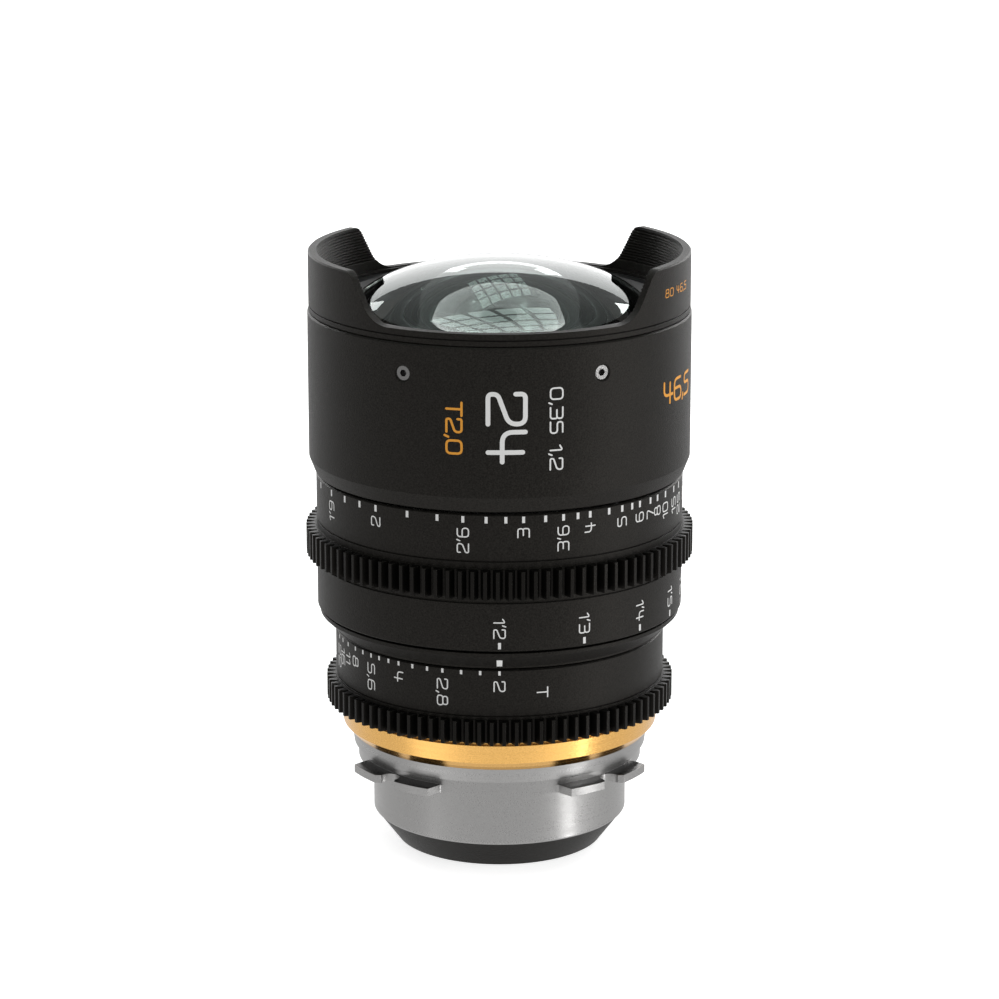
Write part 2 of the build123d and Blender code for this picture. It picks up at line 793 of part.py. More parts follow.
def iris_blade(number):
    """One blade with its pivot pin and its drive pin, in a layer of its own."""
    bottom = blades_bottom + blade_pitch * number
    half = blade_width / 2
    middle = blade_inner_radius + half
    flat = arc_band(middle, half, -blade_tail, blade_sweep) + band_end(middle, half, blade_sweep)
    ear_reach = blade_pivot_radius - middle
    ear = Pos(0, -middle - ear_reach / 2) * Rectangle(2 * blade_pivot_ear_radius, ear_reach)
    pivot = Pos(0, -blade_pivot_radius)
    drive_x, drive_y = blade_pin_path(0)
    bar = Pos(0, blade_arm_length / 2) * Rectangle(blade_arm_width, blade_arm_length)
    outline = flat + ear + pivot * Circle(blade_pivot_ear_radius)
    outline += pivot * Rot(0, 0, blade_arm_angle) * bar
    outline += Pos(drive_x, drive_y) * Circle(blade_arm_width / 2)
    leaf = Pos(0, 0, bottom) * extrude(outline, amount=blade_thickness)
    leaf += pillar(blade_pin_radius, blade_pivot_radius, base_plate_bottom + seat_fit, bottom)
    drive = Pos(drive_x, drive_y, bottom) * extrude(
        Circle(blade_pin_radius), amount=cam_ring_top - cam_ring_gap - bottom
    )
    return Rot(0, 0, 360 / blade_count * number) * (leaf + drive)


def iris_clamp_ring():
    """The threaded ring that keeps the iris in the rear barrel."""
    return tube(
        iris_clamp_bore_radius,
        iris_bore_radius - seat_fit,
        iris_clamp_bottom,
        iris_clamp_bottom + iris_clamp_thickness,
    )


def index_ring():
    """The fixed ring with the index mark, between the aperture and focus rings."""
    return turned(
        (iris_bearing_radius + seat_fit, index_bottom),
        (index_rear_radius, index_bottom),
        (index_rear_radius, index_bottom + index_lip_length),
        (index_front_radius, index_top - index_land_length),
        (index_front_radius, index_top),
        (body_flange_radius + seat_fit, index_top),
        (body_flange_radius + seat_fit, index_top - body_flange_length),
        (iris_bearing_radius + seat_fit, index_top - body_flange_length),
    )


def inner_barrel():
    """The fixed tube that guides the focusing group."""
    spigot = body_spigot_radius - seat_fit
    body = turned(
        (inner_barrel_bore_radius, index_top - body_spigot_length + ring_gap),
        (spigot, index_top - body_spigot_length + ring_gap),
        (spigot, index_top),
        (body_flange_radius, index_top),
        (body_flange_radius, inner_flange_top),
        (inner_barrel_radius, inner_flange_top),
        (inner_barrel_radius, inner_barrel_top),
        (inner_barrel_bore_radius, inner_barrel_top),
    )
    seat = inner_flange_top - small_head_height
    hole = pillar(small_screw_radius + seat_fit, flange_screw_circle, index_top, inner_flange_top)
    counterbore = pillar(small_head_radius + seat_fit, flange_screw_circle, seat, inner_flange_top)
    body -= around(screw_count, hole) + around(screw_count, counterbore)
    tip = front_web_top - small_screw_length - screw_hole_spare
    tapped = pillar(small_screw_radius + seat_fit, small_screw_circle, tip, inner_barrel_top)
    body -= around(screw_count, tapped)
    half = follower_radius + running_fit
    inner = inner_barrel_bore_radius - overrun
    outer = inner_barrel_radius + overrun
    slot = rod(half, inner, outer, follower_z) + rod(half, inner, outer, follower_z - focus_travel)
    slot += Pos(0, -(inner + outer) / 2, follower_z - focus_travel / 2) * Box(
        2 * half, outer - inner, focus_travel
    )
    return body - around(follower_count, slot)


def body_screws():
    """The screws that join the inner barrel to the rear barrel."""
    one = screw(small_screw_radius, small_head_radius, small_head_height, flange_screw_length)
    return around(screw_count, Pos(0, -flange_screw_circle, inner_flange_top) * one)


def rear_washer():
    """The slippery washer under the focus sleeve."""
    return tube(sleeve_bore, body_flange_radius, inner_flange_top, sleeve_bottom)


def front_washer():
    """The slippery washer between the focus ring and the front barrel."""
    bore = inner_barrel_radius + focus_lip_clearance
    return tube(bore, sleeve_radius, focus_ring_top, front_barrel_bottom)


def focus_ring():
    """The focus ring: two scale bands with a toothed band between them."""
    chamfer = ring_edge_chamfer
    lip = inner_barrel_radius + focus_lip_clearance
    ring = turned(
        (focus_bore, focus_ring_bottom),
        (focus_ring_radius - chamfer, focus_ring_bottom),
        (focus_ring_radius, focus_ring_bottom + chamfer),
        (focus_ring_radius, focus_ring_top - chamfer),
        (focus_ring_radius - chamfer, focus_ring_top),
        (lip, focus_ring_top),
        (lip, sleeve_top),
        (focus_bore, sleeve_top),
    )
    ring -= line_cut(focus_ring_radius, focus_ring_bottom + focus_rear_line_offset, focus_rear_line_width)
    ring -= line_cut(focus_ring_radius, focus_ring_bottom + focus_front_line_offset, line_width)
    ring += gear_band(
        focus_teeth,
        focus_tooth_phase,
        focus_ring_radius - ring_edge_chamfer,
        focus_ring_bottom + focus_gear_offset,
        focus_gear_width,
    )
    seat = focus_ring_top - small_head_height
    hole = pillar(small_screw_radius + seat_fit, sleeve_screw_circle, sleeve_top, focus_ring_top)
    counterbore = pillar(small_head_radius + seat_fit, sleeve_screw_circle, seat, focus_ring_top)
    ring -= around(screw_count, hole) + around(screw_count, counterbore)
    pin_floor = focus_ring_top - stop_pin_grip
    pin_hole = pillar(stop_pin_radius, stop_pin_circle_radius, pin_floor, focus_ring_top)
    return ring - Rot(0, 0, stop_pin_angle) * pin_hole


def focus_sleeve():
    """The sleeve inside the focus ring, with a helical groove for each follower."""
    sleeve = tube(sleeve_bore, sleeve_radius, sleeve_bottom, sleeve_top)
    tip = focus_ring_top - small_screw_length - screw_hole_spare
    tapped = pillar(small_screw_radius + seat_fit, sleeve_screw_circle, tip, sleeve_top)
    sleeve -= around(screw_count, tapped)
    for cutter in groove_cutters():
        sleeve -= around(follower_count, cutter)
    return sleeve


def groove_cutters():
    """The cutters for a groove that starts at the first follower and falls as it goes round."""
    half = follower_radius + running_fit
    depth = follower_depth + groove_floor_gap
    inner = sleeve_bore - depth
    outer = sleeve_bore + depth
    middle = (inner + outer) / 2
    low = follower_z - focus_travel
    pitch = focus_travel * 360 / focus_throw
    path = Pos(0, 0, low) * Helix(pitch=pitch, height=focus_travel, radius=middle, lefthand=True)
    start = Plane(origin=path @ 0, x_dir=(1, 0, 0), z_dir=(0, -1, 0))
    section = start * Rectangle(outer - inner, 2 * half)
    channel = sweep(section, path=path, is_frenet=True)
    ends = [rod_at(half, inner, outer, low, 0), rod_at(half, inner, outer, follower_z, -focus_throw)]
    turned_back = Rot(0, 0, focus_throw - 90)
    return [turned_back * piece for piece in [channel, *ends]]


def rod_at(radius, inner, outer, height, angle):
    """A round bar across the groove, at an angle from +X."""
    return Rot(0, 0, angle + 90) * rod(radius, inner, outer, height)


def sleeve_screws():
    """The screws that hold the focus ring on its sleeve."""
    one = screw(small_screw_radius, small_head_radius, small_head_height, small_screw_length)
    return around(screw_count, Pos(0, -sleeve_screw_circle, focus_ring_top) * one)


def focus_stop_pin():
    """The pin in the focus ring that ends its turn at both limits."""
    top = focus_ring_top + stop_pin_reach
    pin = pillar(stop_pin_radius, stop_pin_circle_radius, focus_ring_top - stop_pin_grip, top)
    return Rot(0, 0, stop_pin_angle) * pin


def focus_cell():
    """The sliding carriage that holds the focusing group."""
    bore = focus_half + glass_fit
    lip = focus_half - lip_width
    rim = front_rim(focus_crown_glass, focus_apex)
    lip_edge = front_face(focus_crown_glass, focus_apex, lip) + glass_fit
    tube_radius = bore + focus_tube_wall
    inner = focus_cell_radius - focus_cell_wall
    web_bottom = follower_z - focus_web_thickness / 2
    web_top = follower_z + focus_web_thickness / 2
    body = turned(
        (bore, focus_tube_bottom),
        (tube_radius, focus_tube_bottom),
        (tube_radius, web_bottom),
        (inner, web_bottom),
        (inner, focus_cell_bottom),
        (focus_cell_radius, focus_cell_bottom),
        (focus_cell_radius, focus_cell_top),
        (inner, focus_cell_top),
        (inner, web_top),
        (tube_radius, web_top),
        (tube_radius, focus_tube_top),
        (lip, focus_tube_top),
        (lip, lip_edge),
        (bore, rim),
    )
    floor = focus_cell_radius - follower_grip
    seat = rod(follower_radius + seat_fit, floor, focus_cell_radius + overrun, follower_z)
    return body - around(follower_count, seat)


def cam_followers():
    """The pins on the carriage that run in the slots and in the helical grooves."""
    inner = focus_cell_radius - follower_grip
    pin = rod(follower_radius, inner, sleeve_bore + follower_depth, follower_z)
    return around(follower_count, pin)


def spacer(above, above_vertex, below, below_vertex):
    """The ring that keeps two elements apart, relieved where their surfaces bulge."""
    outer = min(above[3], below[3])
    inner = outer - spacer_wall
    top = rear_face(above, above_vertex, outer)
    bottom = front_face(below, below_vertex, outer)
    return turned(
        (inner, max(bottom, front_face(below, below_vertex, inner) + glass_fit)),
        (outer, bottom),
        (outer, top),
        (inner, min(top, rear_face(above, above_vertex, inner) - glass_fit)),
    )


def clamp_ring(glass, vertex):
    """The threaded ring behind the last element of a cell."""
    outer = glass[3]
    inner = outer - clamp_ring_width
    top = rear_rim(glass, vertex)
    bottom = top - clamp_ring_thickness
    seat = min(top, rear_face(glass, vertex, inner) - glass_fit)
    return turned((inner, bottom), (outer, bottom), (outer, top), (inner, seat))


def front_clamp_ring():
    """The dished ring that holds the front element in its cell."""
    inner = front_half - front_clamp_overlap
    outer = front_half + front_clamp_thread
    seat = front_face(front_element_glass, front_apex, inner) + glass_fit
    return turned(
        (inner, seat),
        (front_half, front_glass_rim),
        (outer, front_glass_rim),
        (outer, front_cell_top),
        (front_half + front_clamp_overlap / 2, front_cell_top),
        (inner, seat + front_clamp_lip),
    )


def second_clamp_ring():
    """The threaded ring that holds the second element in the front cell."""
    inner = second_half - second_clamp_overlap
    outer = second_half + clamp_ring_width
    top = second_rim + clamp_ring_thickness
    seat = front_face(second_element_glass, second_apex, inner) + glass_fit
    return turned((inner, seat), (second_half, second_rim), (outer, second_rim), (outer, top), (inner, top))


def front_cell():
    """The cell that holds the four front elements."""
    plate_bottom = hood_seat_bottom - cell_plate_thickness
    step_bottom = third_rim - cell_plate_thickness
    seat_radius = front_bore_radius - running_fit
    second_tube = second_half + second_cell_wall
    tail = third_half + tail_wall
    front_bore = front_half + glass_fit
    front_thread = front_bore + front_clamp_thread
    second_bore = second_half + glass_fit
    second_thread = second_bore + clamp_ring_width
    tail_bore = third_half + glass_fit
    lip = third_half - lip_width
    return turned(
        (front_cell_radius, front_cell_top),
        (front_cell_radius, cell_flange_top),
        (front_cell_flange_radius, cell_flange_top),
        (front_cell_flange_radius, hood_seat_bottom),
        (seat_radius, hood_seat_bottom),
        (seat_radius, plate_bottom),
        (second_tube, plate_bottom),
        (second_tube, step_bottom),
        (tail, step_bottom),
        (tail, front_cell_bottom),
        (tail_bore, front_cell_bottom),
        (tail_bore, third_rim),
        (lip, third_rim),
        (lip, second_seat),
        (second_bore, second_seat),
        (second_bore, second_rim),
        (second_thread, second_rim),
        (second_thread, front_seat),
        (front_bore, front_seat),
        (front_bore, front_glass_rim),
        (front_thread, front_glass_rim),
        (front_thread, front_cell_top),
    )


def rear_cell():
    """The cell that holds the five rear elements."""
    small = crown_half + glass_fit
    middle = meniscus_half + glass_fit
    large = rear_half + glass_fit
    lip = crown_half - lip_width
    lip_edge = front_face(rear_crown_glass, rear_apex, lip) + glass_fit
    seat_edge = front_face(rear_element_glass, rear_element_apex, middle) + glass_fit
    return turned(
        (large, rear_cell_bottom),
        (rear_cell_radius, rear_cell_bottom),
        (rear_cell_radius, rear_web_top),
        (rear_cell_flange_radius, rear_web_top),
        (rear_cell_flange_radius, rear_cell_top),
        (small, rear_cell_top),
        (lip, rear_crown_rim + lip_thickness),
        (lip, lip_edge),
        (small, rear_crown_rim),
        (small, rear_meniscus_rim),
        (middle, rear_meniscus_rim),
        (middle, seat_edge),
        (large, rear_element_rim),
    )


def front_barrel():
    """The large outer barrel in front of the focus ring."""
    web_bore = inner_barrel_radius + seat_fit
    body = turned(
        (web_bore, front_barrel_bottom),
        (front_barrel_radius - front_bevel_depth, front_barrel_bottom),
        (front_barrel_radius, front_barrel_bottom + front_bevel_length),
        (front_barrel_radius, front_barrel_top - hood_bevel),
        (front_barrel_radius - hood_bevel, front_barrel_top),
        (hood_seat_radius, front_barrel_top),
        (hood_seat_radius, hood_seat_bottom),
        (front_bore_radius, hood_seat_bottom),
        (front_bore_radius, front_web_top),
        (front_lip_bore_radius, front_web_top),
        (front_lip_bore_radius, inner_barrel_top),
        (web_bore, inner_barrel_top),
    )
    seat = front_web_top - small_head_height
    hole = pillar(small_screw_radius + seat_fit, small_screw_circle, inner_barrel_top, front_web_top)
    counterbore = pillar(small_head_radius + seat_fit, small_screw_circle, seat, front_web_top)
    body -= around(screw_count, hole) + around(screw_count, counterbore)
    body -= stop_groove()
    return body - around(set_screw_count, set_screw_hole(), set_screw_first_angle)


def stop_groove():
    """The cutter for the groove in the barrel's rear face, whose ends stop the focus ring."""
    half = stop_pin_radius + stop_groove_clearance
    slack = degrees(stop_groove_clearance / stop_pin_circle_radius)
    first = stop_pin_angle - focus_throw - slack
    last = stop_pin_angle + slack
    flat = arc_band(stop_pin_circle_radius, half, first, last)
    for angle in (first, last):
        flat += band_end(stop_pin_circle_radius, half, angle)
    depth = stop_pin_reach + stop_groove_clearance - barrel_gap
    return Pos(0, 0, front_barrel_bottom) * extrude(flat, amount=depth)


def set_screw_hole():
    """The cutter for a tapped hole across the barrel wall, with a bevelled rim."""
    inner = hood_seat_radius - overrun
    outer = front_barrel_radius + overrun
    bevel = Cone(set_screw_radius, set_screw_radius + 2 * set_screw_bevel, 2 * set_screw_bevel)
    placed = Pos(0, -front_barrel_radius, set_screw_height) * Rot(90, 0, 0) * bevel
    return rod(set_screw_radius + seat_fit, inner, outer, set_screw_height) + placed


def barrel_screws():
    """The screws that hold the front barrel on the inner barrel."""
    one = screw(small_screw_radius, small_head_radius, small_head_height, small_screw_length)
    return around(screw_count, Pos(0, -small_screw_circle, front_web_top) * one)


def set_screws():
    """The screws that lock the hood in the front barrel."""
    outer = front_barrel_radius - set_screw_recess
    shank = rod(set_screw_radius, hood_base_bore, outer, set_screw_height)
    width = 2 * set_screw_radius * socket_width_share
    depth = (outer - hood_base_bore) * socket_depth_share
    recess = Pos(0, -outer, set_screw_height) * Rot(90, 0, 0) * socket(width, depth, 0)
    return around(set_screw_count, shank - recess, set_screw_first_angle)


def notch_sections():
    """The half width and height of a hood notch, from its floor to the hood's rim."""
    lean = atan2(notch_top_half_width - notch_bottom_half_width, hood_top - notch_floor)
    turn = pi / 2 - lean
    floor_start = notch_bottom_half_width - notch_bottom_fillet * tan(turn / 2)
    rim_end = notch_top_half_width + notch_top_fillet * tan(turn / 2)
    steps = [turn * i / notch_arc_steps for i in range(notch_arc_steps + 1)]
    floor = [
        (floor_start + notch_bottom_fillet * sin(a), notch_floor + notch_bottom_fillet * (1 - cos(a)))
        for a in steps
    ]
    rim = [
        (rim_end - notch_top_fillet * sin(a), hood_top - notch_top_fillet * (1 - cos(a)))
        for a in reversed(steps)
    ]
    return floor, rim


def wedge(half_width, height):
    """A horizontal sector with its point on the axis and radial sides."""
    angle = half_width / front_barrel_radius
    reach = 2 * front_barrel_radius
    x, y = reach * sin(angle), reach * cos(angle)
    return Pos(0, 0, height) * make_face(Polyline((0, 0), (x, -y), (-x, -y), close=True))


def notch_cutter():
    """The cutter for one notch between the petals."""
    floor, rim = notch_sections()
    cutter = loft([wedge(*section) for section in floor])
    slant = [floor[-1], rim[0]]
    cutter += loft([wedge(*section) for section in slant], ruled=True)
    cutter += loft([wedge(*section) for section in rim])
    return cutter + extrude(wedge(*rim[-1]), amount=overrun)


def front_hood():
    """The front hood: a ring with a petal on each side."""
    bore = front_barrel_radius - hood_wall
    spigot = hood_seat_radius - seat_fit
    line_middle = front_barrel_top + hood_line_offset
    line_bottom = line_middle - line_width / 2
    line_top = line_middle + line_width / 2
    outline = [
        (hood_base_bore, cell_flange_top),
        (spigot, cell_flange_top),
        (spigot, front_barrel_top),
        (hood_radius - hood_bevel, front_barrel_top),
        (hood_radius, front_barrel_top + hood_bevel),
        (hood_radius, line_bottom),
        (hood_radius - line_depth, line_bottom),
        (hood_radius - line_depth, line_top),
        (hood_radius, line_top),
        (hood_radius, hood_top - hood_bevel),
        (hood_radius - hood_bevel, hood_top),
        (bore, hood_top),
    ]
    for ridge in range(ridge_count):
        height = hood_top - ridge_margin - ridge_pitch * ridge
        outline += [(bore, height), (bore + ridge_depth, height - ridge_pitch / 2)]
    outline += [
        (bore, hood_top - ridge_margin - ridge_pitch * ridge_count),
        (bore, front_barrel_top + hood_base_length),
        (hood_base_bore, front_barrel_top + hood_base_length),
    ]
    body = turned(*outline) - around(2, notch_cutter(), petal_turn)
    hole = rod(set_screw_radius + seat_fit, hood_base_bore - overrun, spigot + overrun, set_screw_height)
    return body - around(set_screw_count, hole, set_screw_first_angle)


def save(name, shape):
    """Write one sub-part to its own file."""
    solids = shape if isinstance(shape, list) else [shape]
    flat = [solid for item in solids for solid in item.solids()]
    piece = flat[0] if len(flat) == 1 else Compound(children=flat)
    piece.label = name
    export_step(piece, f"parts/{name}.step")


def main():
    """Make every sub-part."""
    os.makedirs("parts", exist_ok=True)
    save("lens_mount", lens_mount())
    save("mount_screws", mount_screws())
    save("mount_shim", mount_shim())
    save("rear_baffle", rear_baffle())
    save("accent_ring", accent_ring())
    save("rear_barrel", rear_barrel())
    save("iris_ring", iris_ring())
    save("iris_link_pin", iris_link_pin())
    save("iris_base_plate", iris_base_plate())
    save("iris_cam_ring", iris_cam_ring())
    for number in range(blade_count):
        save(f"iris_blade_{number + 1}", iris_blade(number))
    save("iris_clamp_ring", iris_clamp_ring())
    save("index_ring", index_ring())
    save("inner_barrel", inner_barrel())
    save("body_screws", body_screws())
    save("rear_washer", rear_washer())
    save("front_washer", front_washer())
    save("focus_ring", focus_ring())
    save("focus_sleeve", focus_sleeve())
    save("sleeve_screws", sleeve_screws())
    save("focus_stop_pin", focus_stop_pin())
    save("focus_cell", focus_cell())
    save("cam_followers", cam_followers())
    flint = (focus_flint_glass, focus_flint_apex)
    single = (focus_single_glass, focus_single_apex)
    save("focus_crown", element(focus_crown_glass, focus_apex))
    save("focus_flint", element(*flint))
    save("focus_spacer", spacer(*flint, *single))
    save("focus_element", element(*single))
    save("focus_clamp_ring", clamp_ring(*single))
    save("front_barrel", front_barrel())
    save("barrel_screws", barrel_screws())
    save("front_cell", front_cell())
    save("front_element", element(front_element_glass, front_apex))
    save("front_clamp_ring", front_clamp_ring())
    save("second_element", element(second_element_glass, second_apex))
    save("second_clamp_ring", second_clamp_ring())
    save("third_element", element(third_element_glass, third_apex))
    save("third_spacer", spacer(third_element_glass, third_apex, fourth_element_glass, fourth_apex))
    save("fourth_element", element(fourth_element_glass, fourth_apex))
    save("fourth_clamp_ring", clamp_ring(fourth_element_glass, fourth_apex))
    save("front_hood", front_hood())
    save("set_screws", set_screws())
    save("rear_cell", rear_cell())
    flint = (rear_flint_glass, rear_flint_apex)
    positive = (rear_positive_glass, rear_positive_apex)
    meniscus = (rear_meniscus_glass, rear_meniscus_apex)
    last = (rear_element_glass, rear_element_apex)
    save("rear_crown", element(rear_crown_glass, rear_apex))
    save("rear_flint", element(*flint))
    save("rear_spacer", spacer(*flint, *positive))
    save("rear_positive", element(*positive))
    save("middle_spacer", spacer(*positive, *meniscus))
    save("rear_meniscus", element(*meniscus))
    save("long_spacer", spacer(*meniscus, *last))
    save("rear_element", element(*last))
    save("rear_clamp_ring", clamp_ring(*last))


if __name__ == "__main__":
    main()
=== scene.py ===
import json
from math import cos, hypot, pi, radians, sin, sqrt

import bpy
from bpy.props import FloatProperty, FloatVectorProperty, PointerProperty
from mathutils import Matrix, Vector
from mathutils.bvhtree import BVHTree


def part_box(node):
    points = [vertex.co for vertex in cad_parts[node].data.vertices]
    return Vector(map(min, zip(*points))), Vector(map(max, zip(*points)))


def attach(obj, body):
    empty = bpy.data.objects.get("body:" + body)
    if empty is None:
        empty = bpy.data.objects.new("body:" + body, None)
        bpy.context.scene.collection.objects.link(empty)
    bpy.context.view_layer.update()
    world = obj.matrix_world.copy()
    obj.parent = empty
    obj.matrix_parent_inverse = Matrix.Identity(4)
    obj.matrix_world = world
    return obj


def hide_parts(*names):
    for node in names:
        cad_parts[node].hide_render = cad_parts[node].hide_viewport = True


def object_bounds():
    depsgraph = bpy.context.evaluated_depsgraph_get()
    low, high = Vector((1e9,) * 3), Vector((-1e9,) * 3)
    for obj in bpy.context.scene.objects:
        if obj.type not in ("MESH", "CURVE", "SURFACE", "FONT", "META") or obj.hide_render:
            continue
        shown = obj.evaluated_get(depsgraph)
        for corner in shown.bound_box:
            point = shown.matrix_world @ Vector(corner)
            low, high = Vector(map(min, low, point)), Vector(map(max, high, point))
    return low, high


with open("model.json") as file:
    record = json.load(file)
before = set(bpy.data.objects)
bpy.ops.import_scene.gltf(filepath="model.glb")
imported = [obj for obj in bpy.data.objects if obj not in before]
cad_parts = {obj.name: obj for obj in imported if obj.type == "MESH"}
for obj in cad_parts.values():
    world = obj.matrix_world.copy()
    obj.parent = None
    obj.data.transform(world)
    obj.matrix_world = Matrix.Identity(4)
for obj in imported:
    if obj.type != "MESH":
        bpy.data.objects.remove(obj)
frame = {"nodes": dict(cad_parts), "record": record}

bl_info = {
    "name": "Cinema Prime Lens",
    "version": (1, 0, 0),
    "blender": (4, 5, 0),
    "location": "View3D > Sidebar > Lens",
    "description": "Scales, marks, finishes and a studio for a cinema prime lens",
    "category": "Object",
}

CAD_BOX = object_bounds()
MM = 0.001
STAND_GAP = 0.02 * MM
FLOOR_HEIGHT = CAD_BOX[0].z - STAND_GAP

# The whole object's axis is the Z axis, the index marks face -Y, and turns are
# given in degrees from -Y towards +X.

# Digits are drawn with strokes in a box one unit wide and one unit high. Each
# has its width as a share of the normal digit's, and its strokes; a stroke
# that ends where it starts is a closed loop.
DIGITS = {
    "0": (1.0, [[(0, 0), (1, 0), (1, 1), (0, 1), (0, 0)]]),
    "1": (0.42, [[(0, 0.78), (1, 1), (1, 0)]]),
    "2": (1.0, [[(0, 0.74), (0, 1), (1, 1), (1, 0.56), (0, 0.26), (0, 0), (1, 0)]]),
    "3": (1.0, [[(0, 1), (1, 1), (1, 0.52), (0.22, 0.52)], [(0.9, 0.52), (1, 0.46), (1, 0), (0, 0)]]),
    "4": (1.0, [[(0, 1), (0, 0.38), (1, 0.38)], [(0.68, 0), (0.68, 0.93)]]),
    "5": (1.0, [[(0.94, 1), (0, 1), (0, 0.56), (1, 0.56), (1, 0), (0, 0)]]),
    "6": (1.0, [[(0.9, 1), (0, 1), (0, 0), (1, 0), (1, 0.56), (0, 0.56)]]),
    "7": (1.0, [[(0, 1), (1, 1), (0.4, 0)]]),
    "8": (1.0, [[(0.08, 0.54), (0.08, 1), (0.92, 1), (0.92, 0.54), (0.08, 0.54)],
                [(0, 0.54), (0, 0), (1, 0), (1, 0.54), (0, 0.54)]]),
    "9": (1.0, [[(1, 0.44), (0, 0.44), (0, 1), (1, 1), (1, 0), (0.1, 0)]]),
    ".": (0.12, [[(1, 0.12), (0, -0.12)]]),
    "'": (0.12, [[(1, 1.04), (0, 0.78)]]),
    "T": (1.0, [[(0, 1), (1, 1)], [(0.5, 1), (0.5, 0)]]),
    "~": (1.5, [[(0, 0.2), (0.5, 0.8), (1, 0.8), (1, 0.2), (0.5, 0.2), (0, 0.8), (0, 0.2)]]),
    " ": (0.5, []),
}

# Each tick's turn and number, with the ring as it is at rest: distances in feet
# and inches from closest focus, and stops from the widest
REAR_FOCUS_SCALE = (
    (0, "1'2"), (26.6, "1'3"), (48.5, "1'4"), (67, "1'5"), (81.2, "1'6"), (94.2, "1'7"),
)
FRONT_FOCUS_SCALE = (
    (-74.3, ""), (-63.9, "1'9"), (-55.3, ""), (-47.7, ""), (-40.7, "2"), (-28.9, ""), (-19, ""),
    (-11, "2'6"), (-4, ""), (1.9, ""), (7.2, "3"), (13.9, ""), (19.5, "3'6"), (24.2, ""),
    (28.3, "4"), (35.1, ""), (40.2, "5"), (44.4, ""), (47.9, "6"), (53.2, "7"), (57.2, "8"),
    (62.4, "10"), (69.3, "15"), (74.9, "25"), (83, "~"),
)
IRIS_SCALE = (
    (0, "2"), (-6.5, ""), (-13, ""), (-19.6, "2.8"), (-25.2, ""), (-30.9, ""), (-36.6, "4"),
    (-41.1, ""), (-45.6, ""), (-49.8, "5.6"), (-54.6, ""), (-59.6, "8"), (-65.4, "11"), (-70.7, "16"),
    (-75.3, "22"),
)
DIGIT_GAP = 0.62 * MM

# Each light's name in the studio's settings, its place, the point it faces and
# its width and height, in metres
MIDDLE = (0, 0, 0.05)
LIGHTS = (
    ("backdrop", (0, 1.2, 0.38), (0, 0, 0.3), (1.8, 0.66)),
    ("left", (-0.52, 0.72, 0.3), MIDDLE, (0.16, 0.6)),
    ("right", (0.55, 0.66, 0.3), MIDDLE, (0.2, 0.6)),
    ("side", (0.85, -0.1, 0.15), MIDDLE, (0.3, 0.8)),
    ("key", (0.68, -0.32, -0.05), (0, 0, -0.05), (0.06, 0.8)),
    ("bounce", (0, -0.36, -0.42), MIDDLE, (1.8, 0.22)),
)

# The camera's place, its tilt below level and its focal length in millimetres
CAMERA_PLACE = (0, -0.7320, 0.24896)
CAMERA_TILT = radians(14.805)
FOCAL_LENGTH = 129.28


class LensSizes(bpy.types.PropertyGroup):
    """Sizes of the painted marks, in metres."""

    paint: FloatProperty(
        name="Paint thickness", description="How far the paint stands on the metal",
        default=0.015 * MM, unit="LENGTH", precision=6)
    focus_tick_width: FloatProperty(
        name="Focus tick width", description="Width of the ticks on the focus ring",
        default=0.6 * MM, unit="LENGTH", precision=5)
    focus_digit_height: FloatProperty(
        name="Focus digit height", description="Height of the numbers on the focus ring",
        default=2.3 * MM, unit="LENGTH", precision=5)
    focus_digit_width: FloatProperty(
        name="Focus digit width", description="Width of the numbers on the focus ring",
        default=1.8 * MM, unit="LENGTH", precision=5)
    iris_tick_width: FloatProperty(
        name="Aperture tick width", description="Width of the ticks on the aperture ring",
        default=0.5 * MM, unit="LENGTH", precision=5)
    iris_digit_height: FloatProperty(
        name="Aperture digit height", description="Height of the numbers on the aperture ring",
        default=2.2 * MM, unit="LENGTH", precision=5)
    fine_stroke: FloatProperty(
        name="Fine stroke", description="Stroke width of the small numbers",
        default=0.27 * MM, unit="LENGTH", precision=5)
    bold_stroke: FloatProperty(
        name="Bold stroke", description="Stroke width of the large number",
        default=0.95 * MM, unit="LENGTH", precision=5)
    glass_drop: FloatProperty(
        name="Glass drop", description="How far the front glass's centre lies below the solid's",
        default=0.8 * MM, unit="LENGTH", precision=5)
    glass_curve: FloatProperty(
        name="Glass radius", description="Radius of the front glass at its centre",
        default=80.4 * MM, unit="LENGTH", precision=5)
    glass_fall: FloatProperty(
        name="Glass fall-off", description="How much the front glass steepens towards its rim",
        default=5.0, min=0)
    edge_softness: FloatProperty(
        name="Edge softness", description="Radius of the softened edges on machined metal",
        default=0.12 * MM, unit="LENGTH", precision=5)


